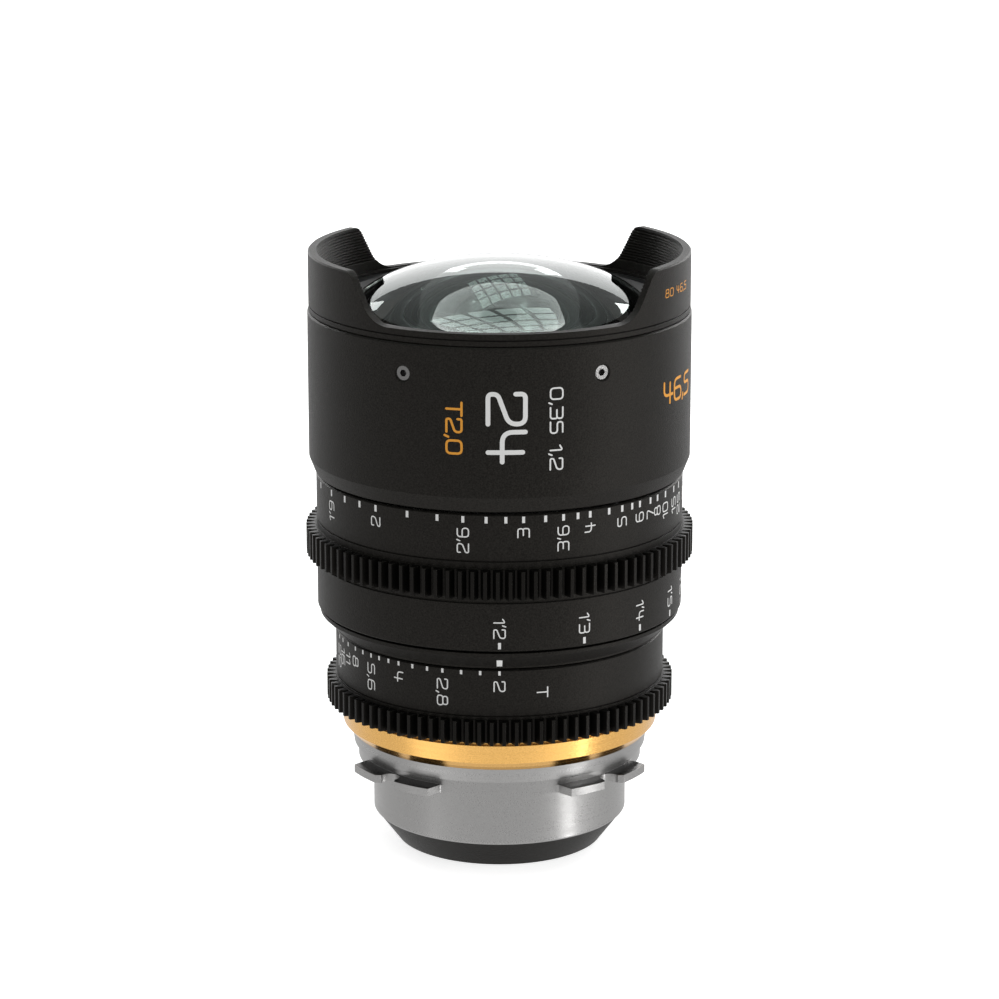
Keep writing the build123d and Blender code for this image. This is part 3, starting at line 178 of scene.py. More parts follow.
class LensColours(bpy.types.PropertyGroup):
    """Colours of the finishes."""

    black: FloatVectorProperty(
        name="Anodised black", description="The outer barrels and rings",
        subtype="COLOR", size=4, min=0, max=1, default=(0.0066, 0.0062, 0.0055, 1))
    inner_black: FloatVectorProperty(
        name="Inner black", description="Cells, spacers and the focusing parts",
        subtype="COLOR", size=4, min=0, max=1, default=(0.009, 0.009, 0.0095, 1))
    steel: FloatVectorProperty(
        name="Steel", description="The bayonet mount",
        subtype="COLOR", size=4, min=0, max=1, default=(0.39, 0.385, 0.38, 1))
    gold: FloatVectorProperty(
        name="Gold", description="The accent ring",
        subtype="COLOR", size=4, min=0, max=1, default=(0.95, 0.545, 0.165, 1))
    front_glass: FloatVectorProperty(
        name="Front glass", description="Tint of the front glass",
        subtype="COLOR", size=4, min=0, max=1, default=(0.95, 1.0, 0.98, 1))
    inner_glass: FloatVectorProperty(
        name="Inner glass", description="Tint of the coated glasses inside",
        subtype="COLOR", size=4, min=0, max=1, default=(0.2, 0.25, 0.23, 1))
    white_paint: FloatVectorProperty(
        name="White paint", description="Scales and index marks",
        subtype="COLOR", size=4, min=0, max=1, default=(0.78, 0.78, 0.77, 1))
    orange_paint: FloatVectorProperty(
        name="Orange paint", description="The orange numbers on the front barrel",
        subtype="COLOR", size=4, min=0, max=1, default=(0.78, 0.33, 0.03, 1))


class LensStudio(bpy.types.PropertyGroup):
    """The plain studio that the lens stands in."""

    floor: FloatVectorProperty(
        name="Floor", description="Colour of the pale floor",
        subtype="COLOR", size=4, min=0, max=1, default=(0.86, 0.86, 0.86, 1))
    glow: FloatProperty(
        name="Floor glow", description="Even brightness of the lit floor",
        default=0.75, min=0)
    overhead: FloatProperty(
        name="Overhead light", description="Power of the large soft light above",
        default=1.7, unit="POWER")
    backdrop: FloatProperty(
        name="Backdrop light", description="Power of the wide light behind",
        default=6.4, unit="POWER")
    left: FloatProperty(
        name="Left light", description="Power of the tall soft light at the left",
        default=1.3, unit="POWER")
    right: FloatProperty(
        name="Right light", description="Power of the tall soft light at the right",
        default=3.0, unit="POWER")
    side: FloatProperty(
        name="Side light", description="Power of the broad dim light at the right",
        default=1.0, unit="POWER")
    key: FloatProperty(
        name="Key light", description="Power of the light at the front right",
        default=1.3, unit="POWER")
    bounce: FloatProperty(
        name="Bounce light", description="Power of the light that comes back from the table in front",
        default=0.9, unit="POWER")
    ambient: FloatProperty(
        name="Ambient light", description="Strength of the even light all round",
        default=0.85, min=0)
    ceiling: FloatProperty(
        name="Ceiling share", description="Share of the even light that also comes from above",
        default=0.45, min=0, max=1)


class Value:
    """A shader number in an expression. Each operation adds its Math node."""

    def __init__(self, tree, socket):
        self.tree = tree
        self.socket = socket

    def maths(self, operation, *operands):
        node = self.tree.nodes.new("ShaderNodeMath")
        node.operation = operation
        for slot, operand in zip(node.inputs, operands):
            plug(self.tree, slot, operand)
        return Value(self.tree, node.outputs[0])

    def __add__(self, other):
        return self.maths("ADD", self, other)

    __radd__ = __add__

    def __sub__(self, other):
        return self.maths("SUBTRACT", self, other)

    def __rsub__(self, other):
        return self.maths("SUBTRACT", other, self)

    def __mul__(self, other):
        return self.maths("MULTIPLY", self, other)

    __rmul__ = __mul__

    def __gt__(self, other):
        return self.maths("GREATER_THAN", self, other)

    def __lt__(self, other):
        return self.maths("LESS_THAN", self, other)

    def root(self):
        return self.maths("SQRT", self)

    def clamped(self):
        return self.maths("MAXIMUM", self.maths("MINIMUM", self, 1.0), 0.0)


def plug(tree, slot, source):
    """Set a socket, or link it, from a number, a colour, a Value or another socket."""
    if isinstance(source, Value):
        source = source.socket
    if isinstance(source, bpy.types.NodeSocket):
        tree.links.new(source, slot)
    else:
        slot.default_value = source


class Nodes:
    """A node tree that is built node by node."""

    def __init__(self, tree):
        self.tree = tree

    def node(self, kind, settings=None, values=None):
        """Add a node: its settings first, then the values or links of its sockets."""
        node = self.tree.nodes.new(kind)
        for key, setting in (settings or {}).items():
            setattr(node, key, setting)
        for key, source in (values or {}).items():
            plug(self.tree, node.inputs[key], source)
        return node

    def value(self, kind, settings=None, values=None, output=0):
        """Add a node and take one of its outputs as a Value."""
        return Value(self.tree, self.node(kind, settings, values).outputs[output])


class Finish(Nodes):
    """A material and what its masks are made of."""

    def __init__(self, name):
        self.material = bpy.data.materials.new(name)
        self.material.use_nodes = True
        super().__init__(self.material.node_tree)
        self.shader = self.tree.nodes["Principled BSDF"]

    def surface(self, **values):
        """Set the shader's sockets. Underscores in a name stand for spaces."""
        for key, source in values.items():
            plug(self.tree, self.shader.inputs[key.replace("_", " ")], source)

    def mix(self, mask, first, second):
        """A colour between two others."""
        return self.node(
            "ShaderNodeMix", {"data_type": "RGBA"}, {"Factor": mask, 6: first, 7: second}).outputs[2]

    def vector(self):
        """Where a point is on the piece, in metres."""
        return self.node("ShaderNodeTexCoord").outputs["Object"]

    def lathe_place(self, vector):
        """A point's distance from the axis and its height."""
        parts = self.node("ShaderNodeSeparateXYZ", None, {"Vector": vector})
        x, y, z = (Value(self.tree, part) for part in parts.outputs)
        return (x * x + y * y).root(), z

    def grain(self, vector, size, detail=2.0):
        """Noise from 0 to 1, with features of a size in metres."""
        return self.value(
            "ShaderNodeTexNoise", {"noise_dimensions": "3D"},
            {"Vector": vector, "Scale": 1 / size, "Detail": detail, "Roughness": 0.6})

    def rings(self, place, size, detail=3.0):
        """Noise that runs round the axis, as a lathe tool leaves it."""
        return self.value(
            "ShaderNodeTexNoise", {"noise_dimensions": "1D"},
            {"W": place, "Scale": 1 / size, "Detail": detail, "Roughness": 0.65})

    def softened(self, radius):
        """The normal with softened edges, and how near a point is to an edge, from 0 to 1."""
        bevel = self.node("ShaderNodeBevel", {"samples": 6}, {"Radius": radius}).outputs[0]
        flat = self.node("ShaderNodeNewGeometry").outputs["Normal"]
        likeness = self.value(
            "ShaderNodeVectorMath", {"operation": "DOT_PRODUCT"}, {0: bevel, 1: flat}, "Value")
        return bevel, ((1 - likeness) * 6).clamped()

    def bumped(self, height, strength, distance, normal=None):
        """A normal with relief from a height mask."""
        values = {"Height": height, "Strength": strength, "Distance": distance}
        if normal is not None:
            values["Normal"] = normal
        return self.node("ShaderNodeBump", None, values).outputs["Normal"]


def shade(colour, factor):
    """A colour made lighter or darker."""
    return (*[channel * factor for channel in colour[:3]], 1)


def anodised_black(name, colour, roughness=0.44, grain_size=0.28 * MM, teeth_from=None):
    """Blasted and anodised aluminium: sparkling fine grain, a faint cloud and edges painted lighter as a
    painted highlight.
    """
    finish = Finish(name)
    vector = finish.vector()
    softness = bpy.context.scene.lens_sizes.edge_softness
    bevel, edge = finish.softened(softness)
    grain = finish.grain(vector, grain_size)
    cloud = finish.grain(vector, 14 * MM, 3)
    sparkle = ((grain - 0.5) * 3.2 + 0.5).clamped()
    base = finish.mix(sparkle, shade(colour, 0.15), shade(colour, 2.6))
    base = finish.mix(cloud * 0.35, base, shade(colour, 1.3))
    # Edges are painted lighter: a painted highlight.
    base = finish.mix(edge * 0.4, base, shade(colour, 2.4))
    rough = roughness + (grain - 0.5) * 0.3 + (cloud - 0.5) * 0.06 - edge * 0.1
    if teeth_from is not None:
        teeth = finish.lathe_place(vector)[0] > teeth_from
        base = finish.mix(teeth * (1 - edge), base, shade(colour, 0.3))
        rough = rough - teeth * 0.08
    finish.surface(
        Base_Color=base, Roughness=rough.clamped(),
        Specular_IOR_Level=0.15, Specular_Tint=(1, 0.93, 0.85, 1),
        Normal=finish.bumped(grain, 1.0, 0.07 * MM, bevel))
    return finish.material


def turned_metal(name, colour, roughness, line_size=0.09 * MM, depth=0.006 * MM, painted_edge_highlight=1.25,
                 milled_tops_with_painted_shade=False, painted_shade_below=None):
    """Metal from a lathe: fine lines round the axis, slight stains and edges with a painted highlight.

    With milled set, faces that look up are smoother, and darker as painted shade. Below the height
    painted_shade_below the colour is darker: painted shade on the bevel that faces down.
    """
    finish = Finish(name)
    vector = finish.vector()
    radius, height = finish.lathe_place(vector)
    softness = bpy.context.scene.lens_sizes.edge_softness
    bevel, edge = finish.softened(softness)
    lines = finish.rings(radius + height, line_size)
    bands = finish.rings(radius + height, 12 * line_size, 1)
    stain = finish.grain(vector, 9 * MM, 4)
    base = finish.mix(lines, shade(colour, 0.86), shade(colour, 1.08))
    base = finish.mix(stain * 0.25, base, shade(colour, 0.82))
    # Edges are painted lighter: a painted highlight.
    base = finish.mix(edge * 0.6, base, shade(colour, painted_edge_highlight))
    speck = finish.grain(vector, 0.17 * MM)
    rough = roughness + (lines - 0.5) * 0.14 + (bands - 0.5) * 0.1
    rough = rough + (stain - 0.5) * 0.12 + (speck - 0.5) * 0.3
    base = finish.mix(((speck - 0.5) * 3 + 0.5).clamped(), shade(colour, 0.74), base)
    if milled_tops_with_painted_shade:
        normal = finish.node("ShaderNodeNewGeometry").outputs["True Normal"]
        level = finish.value("ShaderNodeSeparateXYZ", None, {"Vector": normal}, "Z") > 0.7
        # Faces that look up are painted darker: painted shade. Their lower roughness is the milled finish.
        base = finish.mix(level * (1 - edge), base, shade(colour, 0.2))
        rough = rough - level * 0.2
    if painted_shade_below is not None:
        # Below this height the gold is painted darker: painted shade on the bevel that faces down.
        base = finish.mix(height < painted_shade_below, base, shade(colour, 0.62))
    finish.surface(
        Base_Color=base, Metallic=1.0, Roughness=rough.clamped(),
        Normal=finish.bumped(lines, 0.5, depth, bevel))
    return finish.material


def inner_black(name, colour, roughness=0.42):
    """Dark turned aluminium, as inside the cells and barrels."""
    finish = Finish(name)
    vector = finish.vector()
    radius, height = finish.lathe_place(vector)
    lines = finish.rings(radius + height, 0.16 * MM)
    grain = finish.grain(vector, 0.25 * MM)
    base = finish.mix(lines * grain, shade(colour, 0.6), shade(colour, 1.9))
    finish.surface(
        Base_Color=base, Roughness=(roughness + (lines - 0.5) * 0.16).clamped(), Specular_IOR_Level=0.4,
        Normal=finish.bumped(lines, 0.6, 0.01 * MM))
    return finish.material


def blade_steel(name):
    """Blackened spring steel with fine rolling lines."""
    finish = Finish(name)
    vector = finish.vector()
    stretched = finish.node(
        "ShaderNodeVectorMath", {"operation": "MULTIPLY"}, {0: vector, 1: (1, 0.08, 1)}).outputs[0]
    lines = finish.grain(stretched, 0.12 * MM, 3)
    base = finish.mix(lines, (0.02, 0.02, 0.022, 1), (0.06, 0.06, 0.065, 1))
    finish.surface(
        Base_Color=base, Metallic=0.8, Roughness=(0.34 + lines * 0.12).clamped(),
        Normal=finish.bumped(lines, 0.3, 0.003 * MM))
    return finish.material


def slippery_plastic(name):
    """Off-white bearing plastic."""
    finish = Finish(name)
    vector = finish.vector()
    cloud = finish.grain(vector, 2 * MM, 4)
    base = finish.mix(cloud, (0.72, 0.71, 0.66, 1), (0.84, 0.83, 0.8, 1))
    finish.surface(
        Base_Color=base, Roughness=(0.45 + cloud * 0.15).clamped(),
        Normal=finish.bumped(cloud, 0.2, 0.01 * MM))
    return finish.material


def paint(name, colour):
    """Filled paint with a slightly uneven face."""
    finish = Finish(name)
    vector = finish.vector()
    grain = finish.grain(vector, 0.18 * MM)
    base = finish.mix(grain, shade(colour, 0.82), shade(colour, 1.05))
    finish.surface(
        Base_Color=base, Roughness=(0.55 + (grain - 0.5) * 0.2).clamped(), Specular_IOR_Level=0.35,
        Normal=finish.bumped(grain, 0.25, 0.01 * MM))
    return finish.material


def optical_glass(name, colour, bend):
    """Coated optical glass: clear, faintly green in its reflections, with a trace of dust haze."""
    finish = Finish(name)
    vector = finish.vector()
    haze = finish.grain(vector, 6 * MM, 4)
    finish.surface(
        Base_Color=colour, Roughness=haze * 0.004, IOR=bend, Transmission_Weight=1.0,
        Specular_Tint=(0.86, 1, 0.95, 1))
    return finish.material


def rounded(points, radius, closed):
    """A polyline with arcs in place of its corners, each at most a share of its sides."""
    most_share = 0.48
    steps = 6
    path = []
    count = len(points)
    for index, corner in enumerate(points):
        if not closed and index in (0, count - 1):
            path.append(corner)
            continue
        before = points[index - 1]
        after = points[(index + 1) % count]
        back = (before[0] - corner[0], before[1] - corner[1])
        ahead = (after[0] - corner[0], after[1] - corner[1])
        back_length, ahead_length = hypot(*back), hypot(*ahead)
        back = (back[0] / back_length, back[1] / back_length)
        ahead = (ahead[0] / ahead_length, ahead[1] / ahead_length)
        reach = min(radius, back_length * most_share, ahead_length * most_share)
        start = (corner[0] + back[0] * reach, corner[1] + back[1] * reach)
        end = (corner[0] + ahead[0] * reach, corner[1] + ahead[1] * reach)
        for step in range(steps + 1):
            share = step / steps
            near, far = (1 - share) ** 2, share ** 2
            middle = 2 * share * (1 - share)
            path.append((
                near * start[0] + middle * corner[0] + far * end[0],
                near * start[1] + middle * corner[1] + far * end[1]))
    return path


def divided(path, step, closed):
    """A polyline with no piece longer than a step."""
    ends = path[1:] + path[:1] if closed else path[1:]
    result = []
    for first, last in zip(path, ends):
        pieces = max(1, int(hypot(last[0] - first[0], last[1] - first[1]) / step + 0.999))
        for piece in range(pieces):
            share = piece / pieces
            result.append((
                first[0] + (last[0] - first[0]) * share,
                first[1] + (last[1] - first[1]) * share))
    if not closed:
        result.append(path[-1])
    return result


def ribbon(path, width, closed):
    """The left and right edges of a stroke, with round ends on an open one."""
    count = len(path)
    sections = []
    for index, point in enumerate(path):
        before = path[index - 1] if closed or index else point
        after = path[(index + 1) % count] if closed or index < count - 1 else point
        along = (after[0] - before[0], after[1] - before[1])
        length = hypot(*along)
        sections.append((point, (along[0] / length, along[1] / length), width / 2))
    if not closed:
        caps = []
        for end, sign in ((0, -1), (-1, 1)):
            point, along, half = sections[end]
            caps.append([
                ((point[0] + along[0] * sign * half * sin(turn),
                  point[1] + along[1] * sign * half * sin(turn)),
                 along, half * cos(turn))
                for turn in (radians(25), radians(50), radians(72), radians(86))])
        sections = list(reversed(caps[0])) + sections + caps[1]
    return [
        ((x - along[1] * half, y + along[0] * half), (x + along[1] * half, y - along[0] * half))
        for (x, y), along, half in sections]


def text_strokes(text, height, width, gap):
    """The strokes of a line of digits that starts at zero, and its whole length."""
    corner, longest = height * 0.3, 0.35 * MM
    strokes, cursor = [], 0.0
    for character in text:
        share, lines = DIGITS[character]
        wide = width * share
        for line in lines:
            points = [(cursor + x * wide, y * height) for x, y in line]
            closed = points[0] == points[-1]
            if closed:
                points = points[:-1]
            path = rounded(points, corner, closed)
            strokes.append((divided(path, longest, closed), closed))
        cursor += wide + gap
    return strokes, cursor - gap


def bar(length, width):
    """One straight stroke with square ends, along X from zero."""
    return [((x, width / 2), (x, -width / 2)) for x in (0, length / 3, 2 * length / 3, length)]


class Marks:
    """Paint on the outside of a turned piece, gathered into one mesh."""

    # The surface is probed once for each sector of a height, from outside it,
    # at a few turns in degrees. Paint starts a little way inside the surface,
    # and each stroke lies a thin layer above the one before.
    sector = 40
    probes = 9
    probe_step = 1.7
    reach = 60 * MM
    sunk = 0.05 * MM
    layer = 0.001 * MM

    def __init__(self, node):
        mesh = frame["nodes"][node].data
        corners = [vertex.co for vertex in mesh.vertices]
        faces = [tuple(face.vertices) for face in mesh.polygons]
        self.tree = BVHTree.FromPolygons(corners, faces)
        self.vertices, self.faces = [], []
        self.radii = {}

    def radius(self, height, turn):
        """The outer radius of the turned piece at a height, seen past any hole or tooth."""
        key = (round(height, 5), round(turn / self.sector))
        if key not in self.radii:
            found = []
            for step in range(self.probes):
                angle = radians(key[1] * self.sector + step * self.probe_step)
                out = Vector((sin(angle), -cos(angle), 0))
                hit = self.tree.ray_cast(out * self.reach + Vector((0, 0, height)), -out)[0]
                if hit is not None:
                    found.append(hypot(hit.x, hit.y))
            if not found:
                raise RuntimeError(f"no surface at height {height:.4f}")
            self.radii[key] = max(found)
        return self.radii[key]

    def add(self, sections, closed, place, lift):
        """Wrap a ribbon on the surface; place turns its flat points into turn and height."""
        first = len(self.vertices)
        for pair in sections:
            for point in pair:
                turn, height = place(point)
                radius = self.radius(height, turn)
                for level in (radius + lift, radius - self.sunk):
                    angle = radians(turn)
                    self.vertices.append((level * sin(angle), -level * cos(angle), height))
        count = len(sections)
        for index in range(count if closed else count - 1):
            a = first + 4 * index
            b = first + 4 * ((index + 1) % count)
            self.faces += [(a, a + 2, b + 2, b), (a + 3, a + 1, b + 1, b + 3),
                           (a + 1, a, b, b + 1), (a + 2, a + 3, b + 3, b + 2)]
        if not closed:
            a, b = first, first + 4 * (count - 1)
            self.faces += [(a + 1, a + 3, a + 2, a), (b, b + 2, b + 3, b + 1)]

    def text(self, text, radius, size, start, turn, reading, anchor=0.0):
        """Write a line of digits that reads down, up or across.

        The anchor is the share of its length that lies before the start.
        """
        height, width, gap, stroke = size
        strokes, length = text_strokes(text, height, width, gap)
        degree = radians(1) * radius

        def place(point):
            along, rise = point[0] - anchor * length, point[1] - height / 2
            if reading == "down":
                return turn + rise / degree, start - along
            if reading == "up":
                return turn - rise / degree, start + along
            return turn + along / degree, start + rise

        lift = bpy.context.scene.lens_sizes.paint
        for order, (path, closed) in enumerate(strokes):
            self.add(ribbon(path, stroke, closed), closed, place, lift + order * self.layer)

    def tick(self, radius, turn, low, high, width):
        """A straight mark along the axis."""
        degree = radians(1) * radius
        self.add(
            bar(high - low, width), False,
            lambda point: (turn + point[1] / degree, low + point[0]),
            bpy.context.scene.lens_sizes.paint)

    def build(self, name, material, body):
        """Make the mesh object and let it ride on its body."""
        mesh = bpy.data.meshes.new(name)
        mesh.from_pydata(self.vertices, [], self.faces)
        mesh.validate()
        mesh.materials.append(material)
        piece = bpy.data.objects.new(name, mesh)
        bpy.context.collection.objects.link(piece)
        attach(piece, body)


def finish_of(name, maker, *values):
    """The material of that name, made when it is first asked for."""
    return bpy.data.materials.get(name) or maker(name, *values)


def white_paint():
    return finish_of("white_paint", paint, tuple(bpy.context.scene.lens_colours.white_paint))


def orange_paint():
    return finish_of("orange_paint", paint, tuple(bpy.context.scene.lens_colours.orange_paint))


def dress(slot, material):
    """Give every CAD node of a material slot its finish."""
    for part in frame["record"]["subparts"]:
        if part["material_slot"] == slot:
            for held in frame["nodes"][part["node"]].material_slots:
                held.material = material


class LENS_OT_barrels(bpy.types.Operator):
    """Finish the black barrels and rings"""
    bl_idname = "lens.barrels"
    bl_label = "Barrels and Rings"

    def execute(self, context):
        colour = tuple(context.scene.lens_colours.black)
        dress("ring_black", anodised_black("ring_black", colour))
        for node in ("focus_ring", "iris_ring"):
            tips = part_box(node)[1].x
            material = anodised_black(f"{node}_black", colour, teeth_from=tips - 1.9 * MM)
            for held in frame["nodes"][node].material_slots:
                held.material = material
        dress("baffle_black", anodised_black("baffle_black", shade(colour, 0.4), roughness=0.42))
        return {"FINISHED"}


class LENS_OT_metal(bpy.types.Operator):
    """Finish the steel mount, the accent ring, the screws, pins, shim and blades"""
    bl_idname = "lens.metal"
    bl_label = "Bare and Coloured Metal"

    def execute(self, context):
        colours = context.scene.lens_colours
        steel = tuple(colours.steel)
        dress("mount_steel", turned_metal("mount_steel", steel, roughness=0.32, milled_tops_with_painted_shade=True))
        bevel_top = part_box("accent_ring")[0].z + 0.75 * MM
        dress("gold_anodised", turned_metal(
            "gold_anodised", tuple(colours.gold), roughness=0.24, line_size=0.07 * MM, depth=0.004 * MM,
            painted_shade_below=bevel_top))
        dress("screw_steel", turned_metal("screw_steel", shade(steel, 0.9), roughness=0.3))
        dress("pin_steel", turned_metal("pin_steel", shade(steel, 1.1), roughness=0.22))
        dress("shim_brass", turned_metal("shim_brass", (0.7, 0.53, 0.25, 1), roughness=0.3))
        dress("screw_black", turned_metal(
            "screw_black", (0.05, 0.05, 0.052, 1), roughness=0.38, painted_edge_highlight=3.0))
        dress("blade_steel", blade_steel("blade_steel"))
        # The set screws sit deep in their holes: their steel is painted darker as painted shade, and their
        # edges get a painted highlight.
        set_screw_steel_painted_dark = turned_metal("set_screw_steel", shade(steel, 0.5), roughness=0.26, painted_edge_highlight=2.0)
        for held in frame["nodes"]["set_screws"].material_slots:
            held.material = set_screw_steel_painted_dark
        return {"FINISHED"}


class LENS_OT_inside(bpy.types.Operator):
    """Finish the cells, spacers, washers and focusing parts"""
    bl_idname = "lens.inside"
    bl_label = "Inner Parts"

    def execute(self, context):
        colour = tuple(context.scene.lens_colours.inner_black)
        dress("inner_black", inner_black("inner_black", colour))
        dress("washer_plastic", slippery_plastic("washer_plastic"))
        return {"FINISHED"}


def lathe(name, profile, material):
    """A closed solid of revolution from its outline, which starts and ends on the axis."""
    turns = 160
    vertices = [(0, 0, profile[0][1]), (0, 0, profile[-1][1])]
    ring = profile[1:-1]
    for radius, height in ring:
        vertices += [
            (radius * sin(2 * pi * step / turns), -radius * cos(2 * pi * step / turns), height)
            for step in range(turns)]
    faces = []
    for step in range(turns):
        following = (step + 1) % turns
        faces.append((0, 2 + step, 2 + following))
        for row in range(len(ring) - 1):
            near, far = 2 + row * turns, 2 + (row + 1) * turns
            faces.append((near + step, far + step, far + following, near + following))
        last = 2 + (len(ring) - 1) * turns
        faces.append((1, last + following, last + step))
    mesh = bpy.data.meshes.new(name)
    mesh.from_pydata(vertices, [], faces)
    mesh.materials.append(material)
    mesh.shade_smooth()
    mesh.set_sharp_from_angle(angle=radians(40))
    piece = bpy.data.objects.new(name, mesh)
    bpy.context.collection.objects.link(piece)
    return piece


def fall(radius, curve, steepening=0.0):
    """How far a lens surface lies below its vertex at a distance from the axis."""
    return radius ** 2 / curve / (1 + sqrt(1 - (1 + steepening) * (radius / curve) ** 2))


class LENS_OT_glass(bpy.types.Operator):
    """Finish the glass, and shape the aspheric face of the front glass"""
    bl_idname = "lens.glass"
    bl_label = "Glass"

    def execute(self, context):
        sizes = context.scene.lens_sizes
        colours = context.scene.lens_colours
        material = optical_glass("front_glass", tuple(colours.front_glass), bend=1.68)
        dress("optical_glass", optical_glass("inner_glass", tuple(colours.inner_glass), bend=1.5))
        low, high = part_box("front_element")
        half = high.x
        # The thickness and the rear face are shares of the half width
        thickness, rear_curve, rear_half = 0.12 * half, 0.896 * half, 0.776 * half
        # Outside the curve a narrow slope meets the straight edge, under the clamp ring
        slope_width, slope_fall = 1.65 * MM, 1.05 * MM
        vertex = high.z - sizes.glass_drop
        back = high.z - thickness
        rim = half - slope_width
        steps = 48
        front = []
        for step in range(steps + 1):
            radius = rim * step / steps
            front.append((radius, vertex - fall(radius, sizes.glass_curve, sizes.glass_fall)))
        edge = [(half, front[-1][1] - slope_fall), (half, low.z)]
        rear = []
        for step in range(steps, -1, -1):
            radius = rear_half * step / steps
            rear.append((radius, back - fall(radius, rear_curve)))
        glass = lathe("front_glass", front + edge + rear, material)
        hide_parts("front_element")
        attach(glass, "lens_body")
        return {"FINISHED"}


class LENS_OT_focus_scale(bpy.types.Operator):
    """Paint both distance scales on the focus ring"""
    bl_idname = "lens.focus_scale"
    bl_label = "Focus Scales"

    def execute(self, context):
        sizes = context.scene.lens_sizes
        low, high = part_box("focus_ring")
        marks = Marks("focus_ring")
        tooth_height, tick_length = 2.25 * MM, 1.35 * MM
        radius = high.x - tooth_height
        size = (sizes.focus_digit_height, sizes.focus_digit_width, DIGIT_GAP, sizes.fine_stroke)
        rear_tick, rear_digit = low.z + 0.6 * MM, low.z + 2.9 * MM
        for turn, number in REAR_FOCUS_SCALE:
            marks.tick(radius, turn, rear_tick, rear_tick + tick_length, sizes.focus_tick_width)
            marks.text(number, radius, size, rear_digit, turn, "down", anchor=1.0)
        front_tick, front_digit = high.z - 0.45 * MM, high.z - 2.95 * MM
        for turn, number in FRONT_FOCUS_SCALE:
            marks.tick(radius, turn, front_tick - tick_length, front_tick, sizes.focus_tick_width)
            if number:
                marks.text(number, radius, size, front_digit, turn, "up", anchor=1.0)
        marks.build("focus_scale", white_paint(), "focus_ring")
        return {"FINISHED"}


class LENS_OT_iris_scale(bpy.types.Operator):
    """Paint the stop scale on the aperture ring"""
    bl_idname = "lens.iris_scale"
    bl_label = "Aperture Scale"

    def execute(self, context):
        sizes = context.scene.lens_sizes
        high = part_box("iris_ring")[1]
        marks = Marks("iris_ring")
        tooth_height, digit_width, letter_turn = 2 * MM, 2.05 * MM, 14.6
        radius = high.x - tooth_height
        size = (sizes.iris_digit_height, digit_width, DIGIT_GAP, sizes.fine_stroke)
        tick_low, tick_high = high.z - 1.2 * MM, high.z - 0.3 * MM
        digit, letter = high.z - 2.55 * MM, high.z - 5.1 * MM
        for turn, number in IRIS_SCALE:
            marks.tick(radius, turn, tick_low, tick_high, sizes.iris_tick_width)
            if number:
                marks.text(number, radius, size, digit, turn, "down")
        marks.text("T", radius, size, letter, letter_turn, "down", anchor=0.5)
        marks.build("iris_scale", white_paint(), "iris_ring")
        return {"FINISHED"}


class LENS_OT_index_marks(bpy.types.Operator):
    """Paint the index mark between the rings and the one on the front barrel"""
    bl_idname = "lens.index_marks"
    bl_label = "Index Marks"

    def execute(self, context):
        cone_depth, ring_mark_width = 1.6 * MM, 1.15 * MM
        bevel_depth, barrel_mark_width = 1 * MM, 1.03 * MM
        low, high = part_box("index_ring")
        ring = Marks("index_ring")
        ring.tick(
            high.x - cone_depth, turn=0,
            low=low.z + 0.45 * MM, high=low.z + 2.35 * MM, width=ring_mark_width)
        ring.build("index_mark", white_paint(), "lens_body")
        low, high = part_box("front_barrel")
        barrel = Marks("front_barrel")
        barrel.tick(
            high.x - bevel_depth, turn=180,
            low=low.z + 0.4 * MM, high=low.z + 2.6 * MM, width=barrel_mark_width)
        barrel.build("rear_index_mark", white_paint(), "lens_body")
        return {"FINISHED"}


class LENS_OT_barrel_numbers(bpy.types.Operator):
    """Paint the numbers on the front barrel and the hood"""
    bl_idname = "lens.barrel_numbers"
    bl_label = "Barrel Numbers"

    def execute(self, context):
        sizes = context.scene.lens_sizes
        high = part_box("front_barrel")[1]
        radius, top = high.x, high.z
        # Each line has the height, width, gap and stroke of its digits
        focal_length = (7.45 * MM, 6.1 * MM, 1.65 * MM, sizes.bold_stroke)
        focus_range = (2.55 * MM, 2.25 * MM, 0.72 * MM, 0.33 * MM)
        widest_stop = (3.1 * MM, 2.65 * MM, 0.72 * MM, 0.48 * MM)
        image_circle = (4.4 * MM, 3.6 * MM, 0.9 * MM, 0.6 * MM)
        hood_line = (1.6 * MM, 1.4 * MM, 0.55 * MM, 0.19 * MM)
        white = Marks("front_barrel")
        white.text("24", radius, focal_length, start=top - 9.3 * MM, turn=2.05, reading="down")
        white.text("0.35 1.2", radius, focus_range, start=top - 8.4 * MM, turn=16.5, reading="down")
        white.build("barrel_numbers", white_paint(), "lens_body")
        orange = Marks("front_barrel")
        orange.text("T2.0", radius, widest_stop, start=top - 11.2 * MM, turn=-13.1, reading="down")
        orange.text("46.5", radius, image_circle, start=top - 13.5 * MM, turn=56.8, reading="across")
        orange.build("orange_numbers", orange_paint(), "lens_body")
        hood = Marks("front_hood")
        hood.text("80 46.5", radius, hood_line, start=top + 7.1 * MM, turn=57.6, reading="across")
        hood.build("hood_numbers", orange_paint(), "lens_body")
        return {"FINISHED"}


def area_light(name, place, aim, size, power, tint=(1, 1, 1)):
    """A soft rectangular light that faces a point."""
    lamp = bpy.data.lights.new(name, "AREA")
    lamp.shape = "RECTANGLE"
    lamp.size, lamp.size_y = size
    lamp.energy = power
    lamp.color = tint
    light = bpy.data.objects.new(name, lamp)
    light.location = place
    light.rotation_euler = (Vector(aim) - Vector(place)).to_track_quat("-Z", "Y").to_euler()
    bpy.context.collection.objects.link(light)
    return light


def plain_mesh(name, vertices, faces, material):
    """A mesh object from its corners and faces."""
    mesh = bpy.data.meshes.new(name)
    mesh.from_pydata(vertices, [], faces)
    mesh.materials.append(material)
    thing = bpy.data.objects.new(name, mesh)
    bpy.context.collection.objects.link(thing)
    return thing


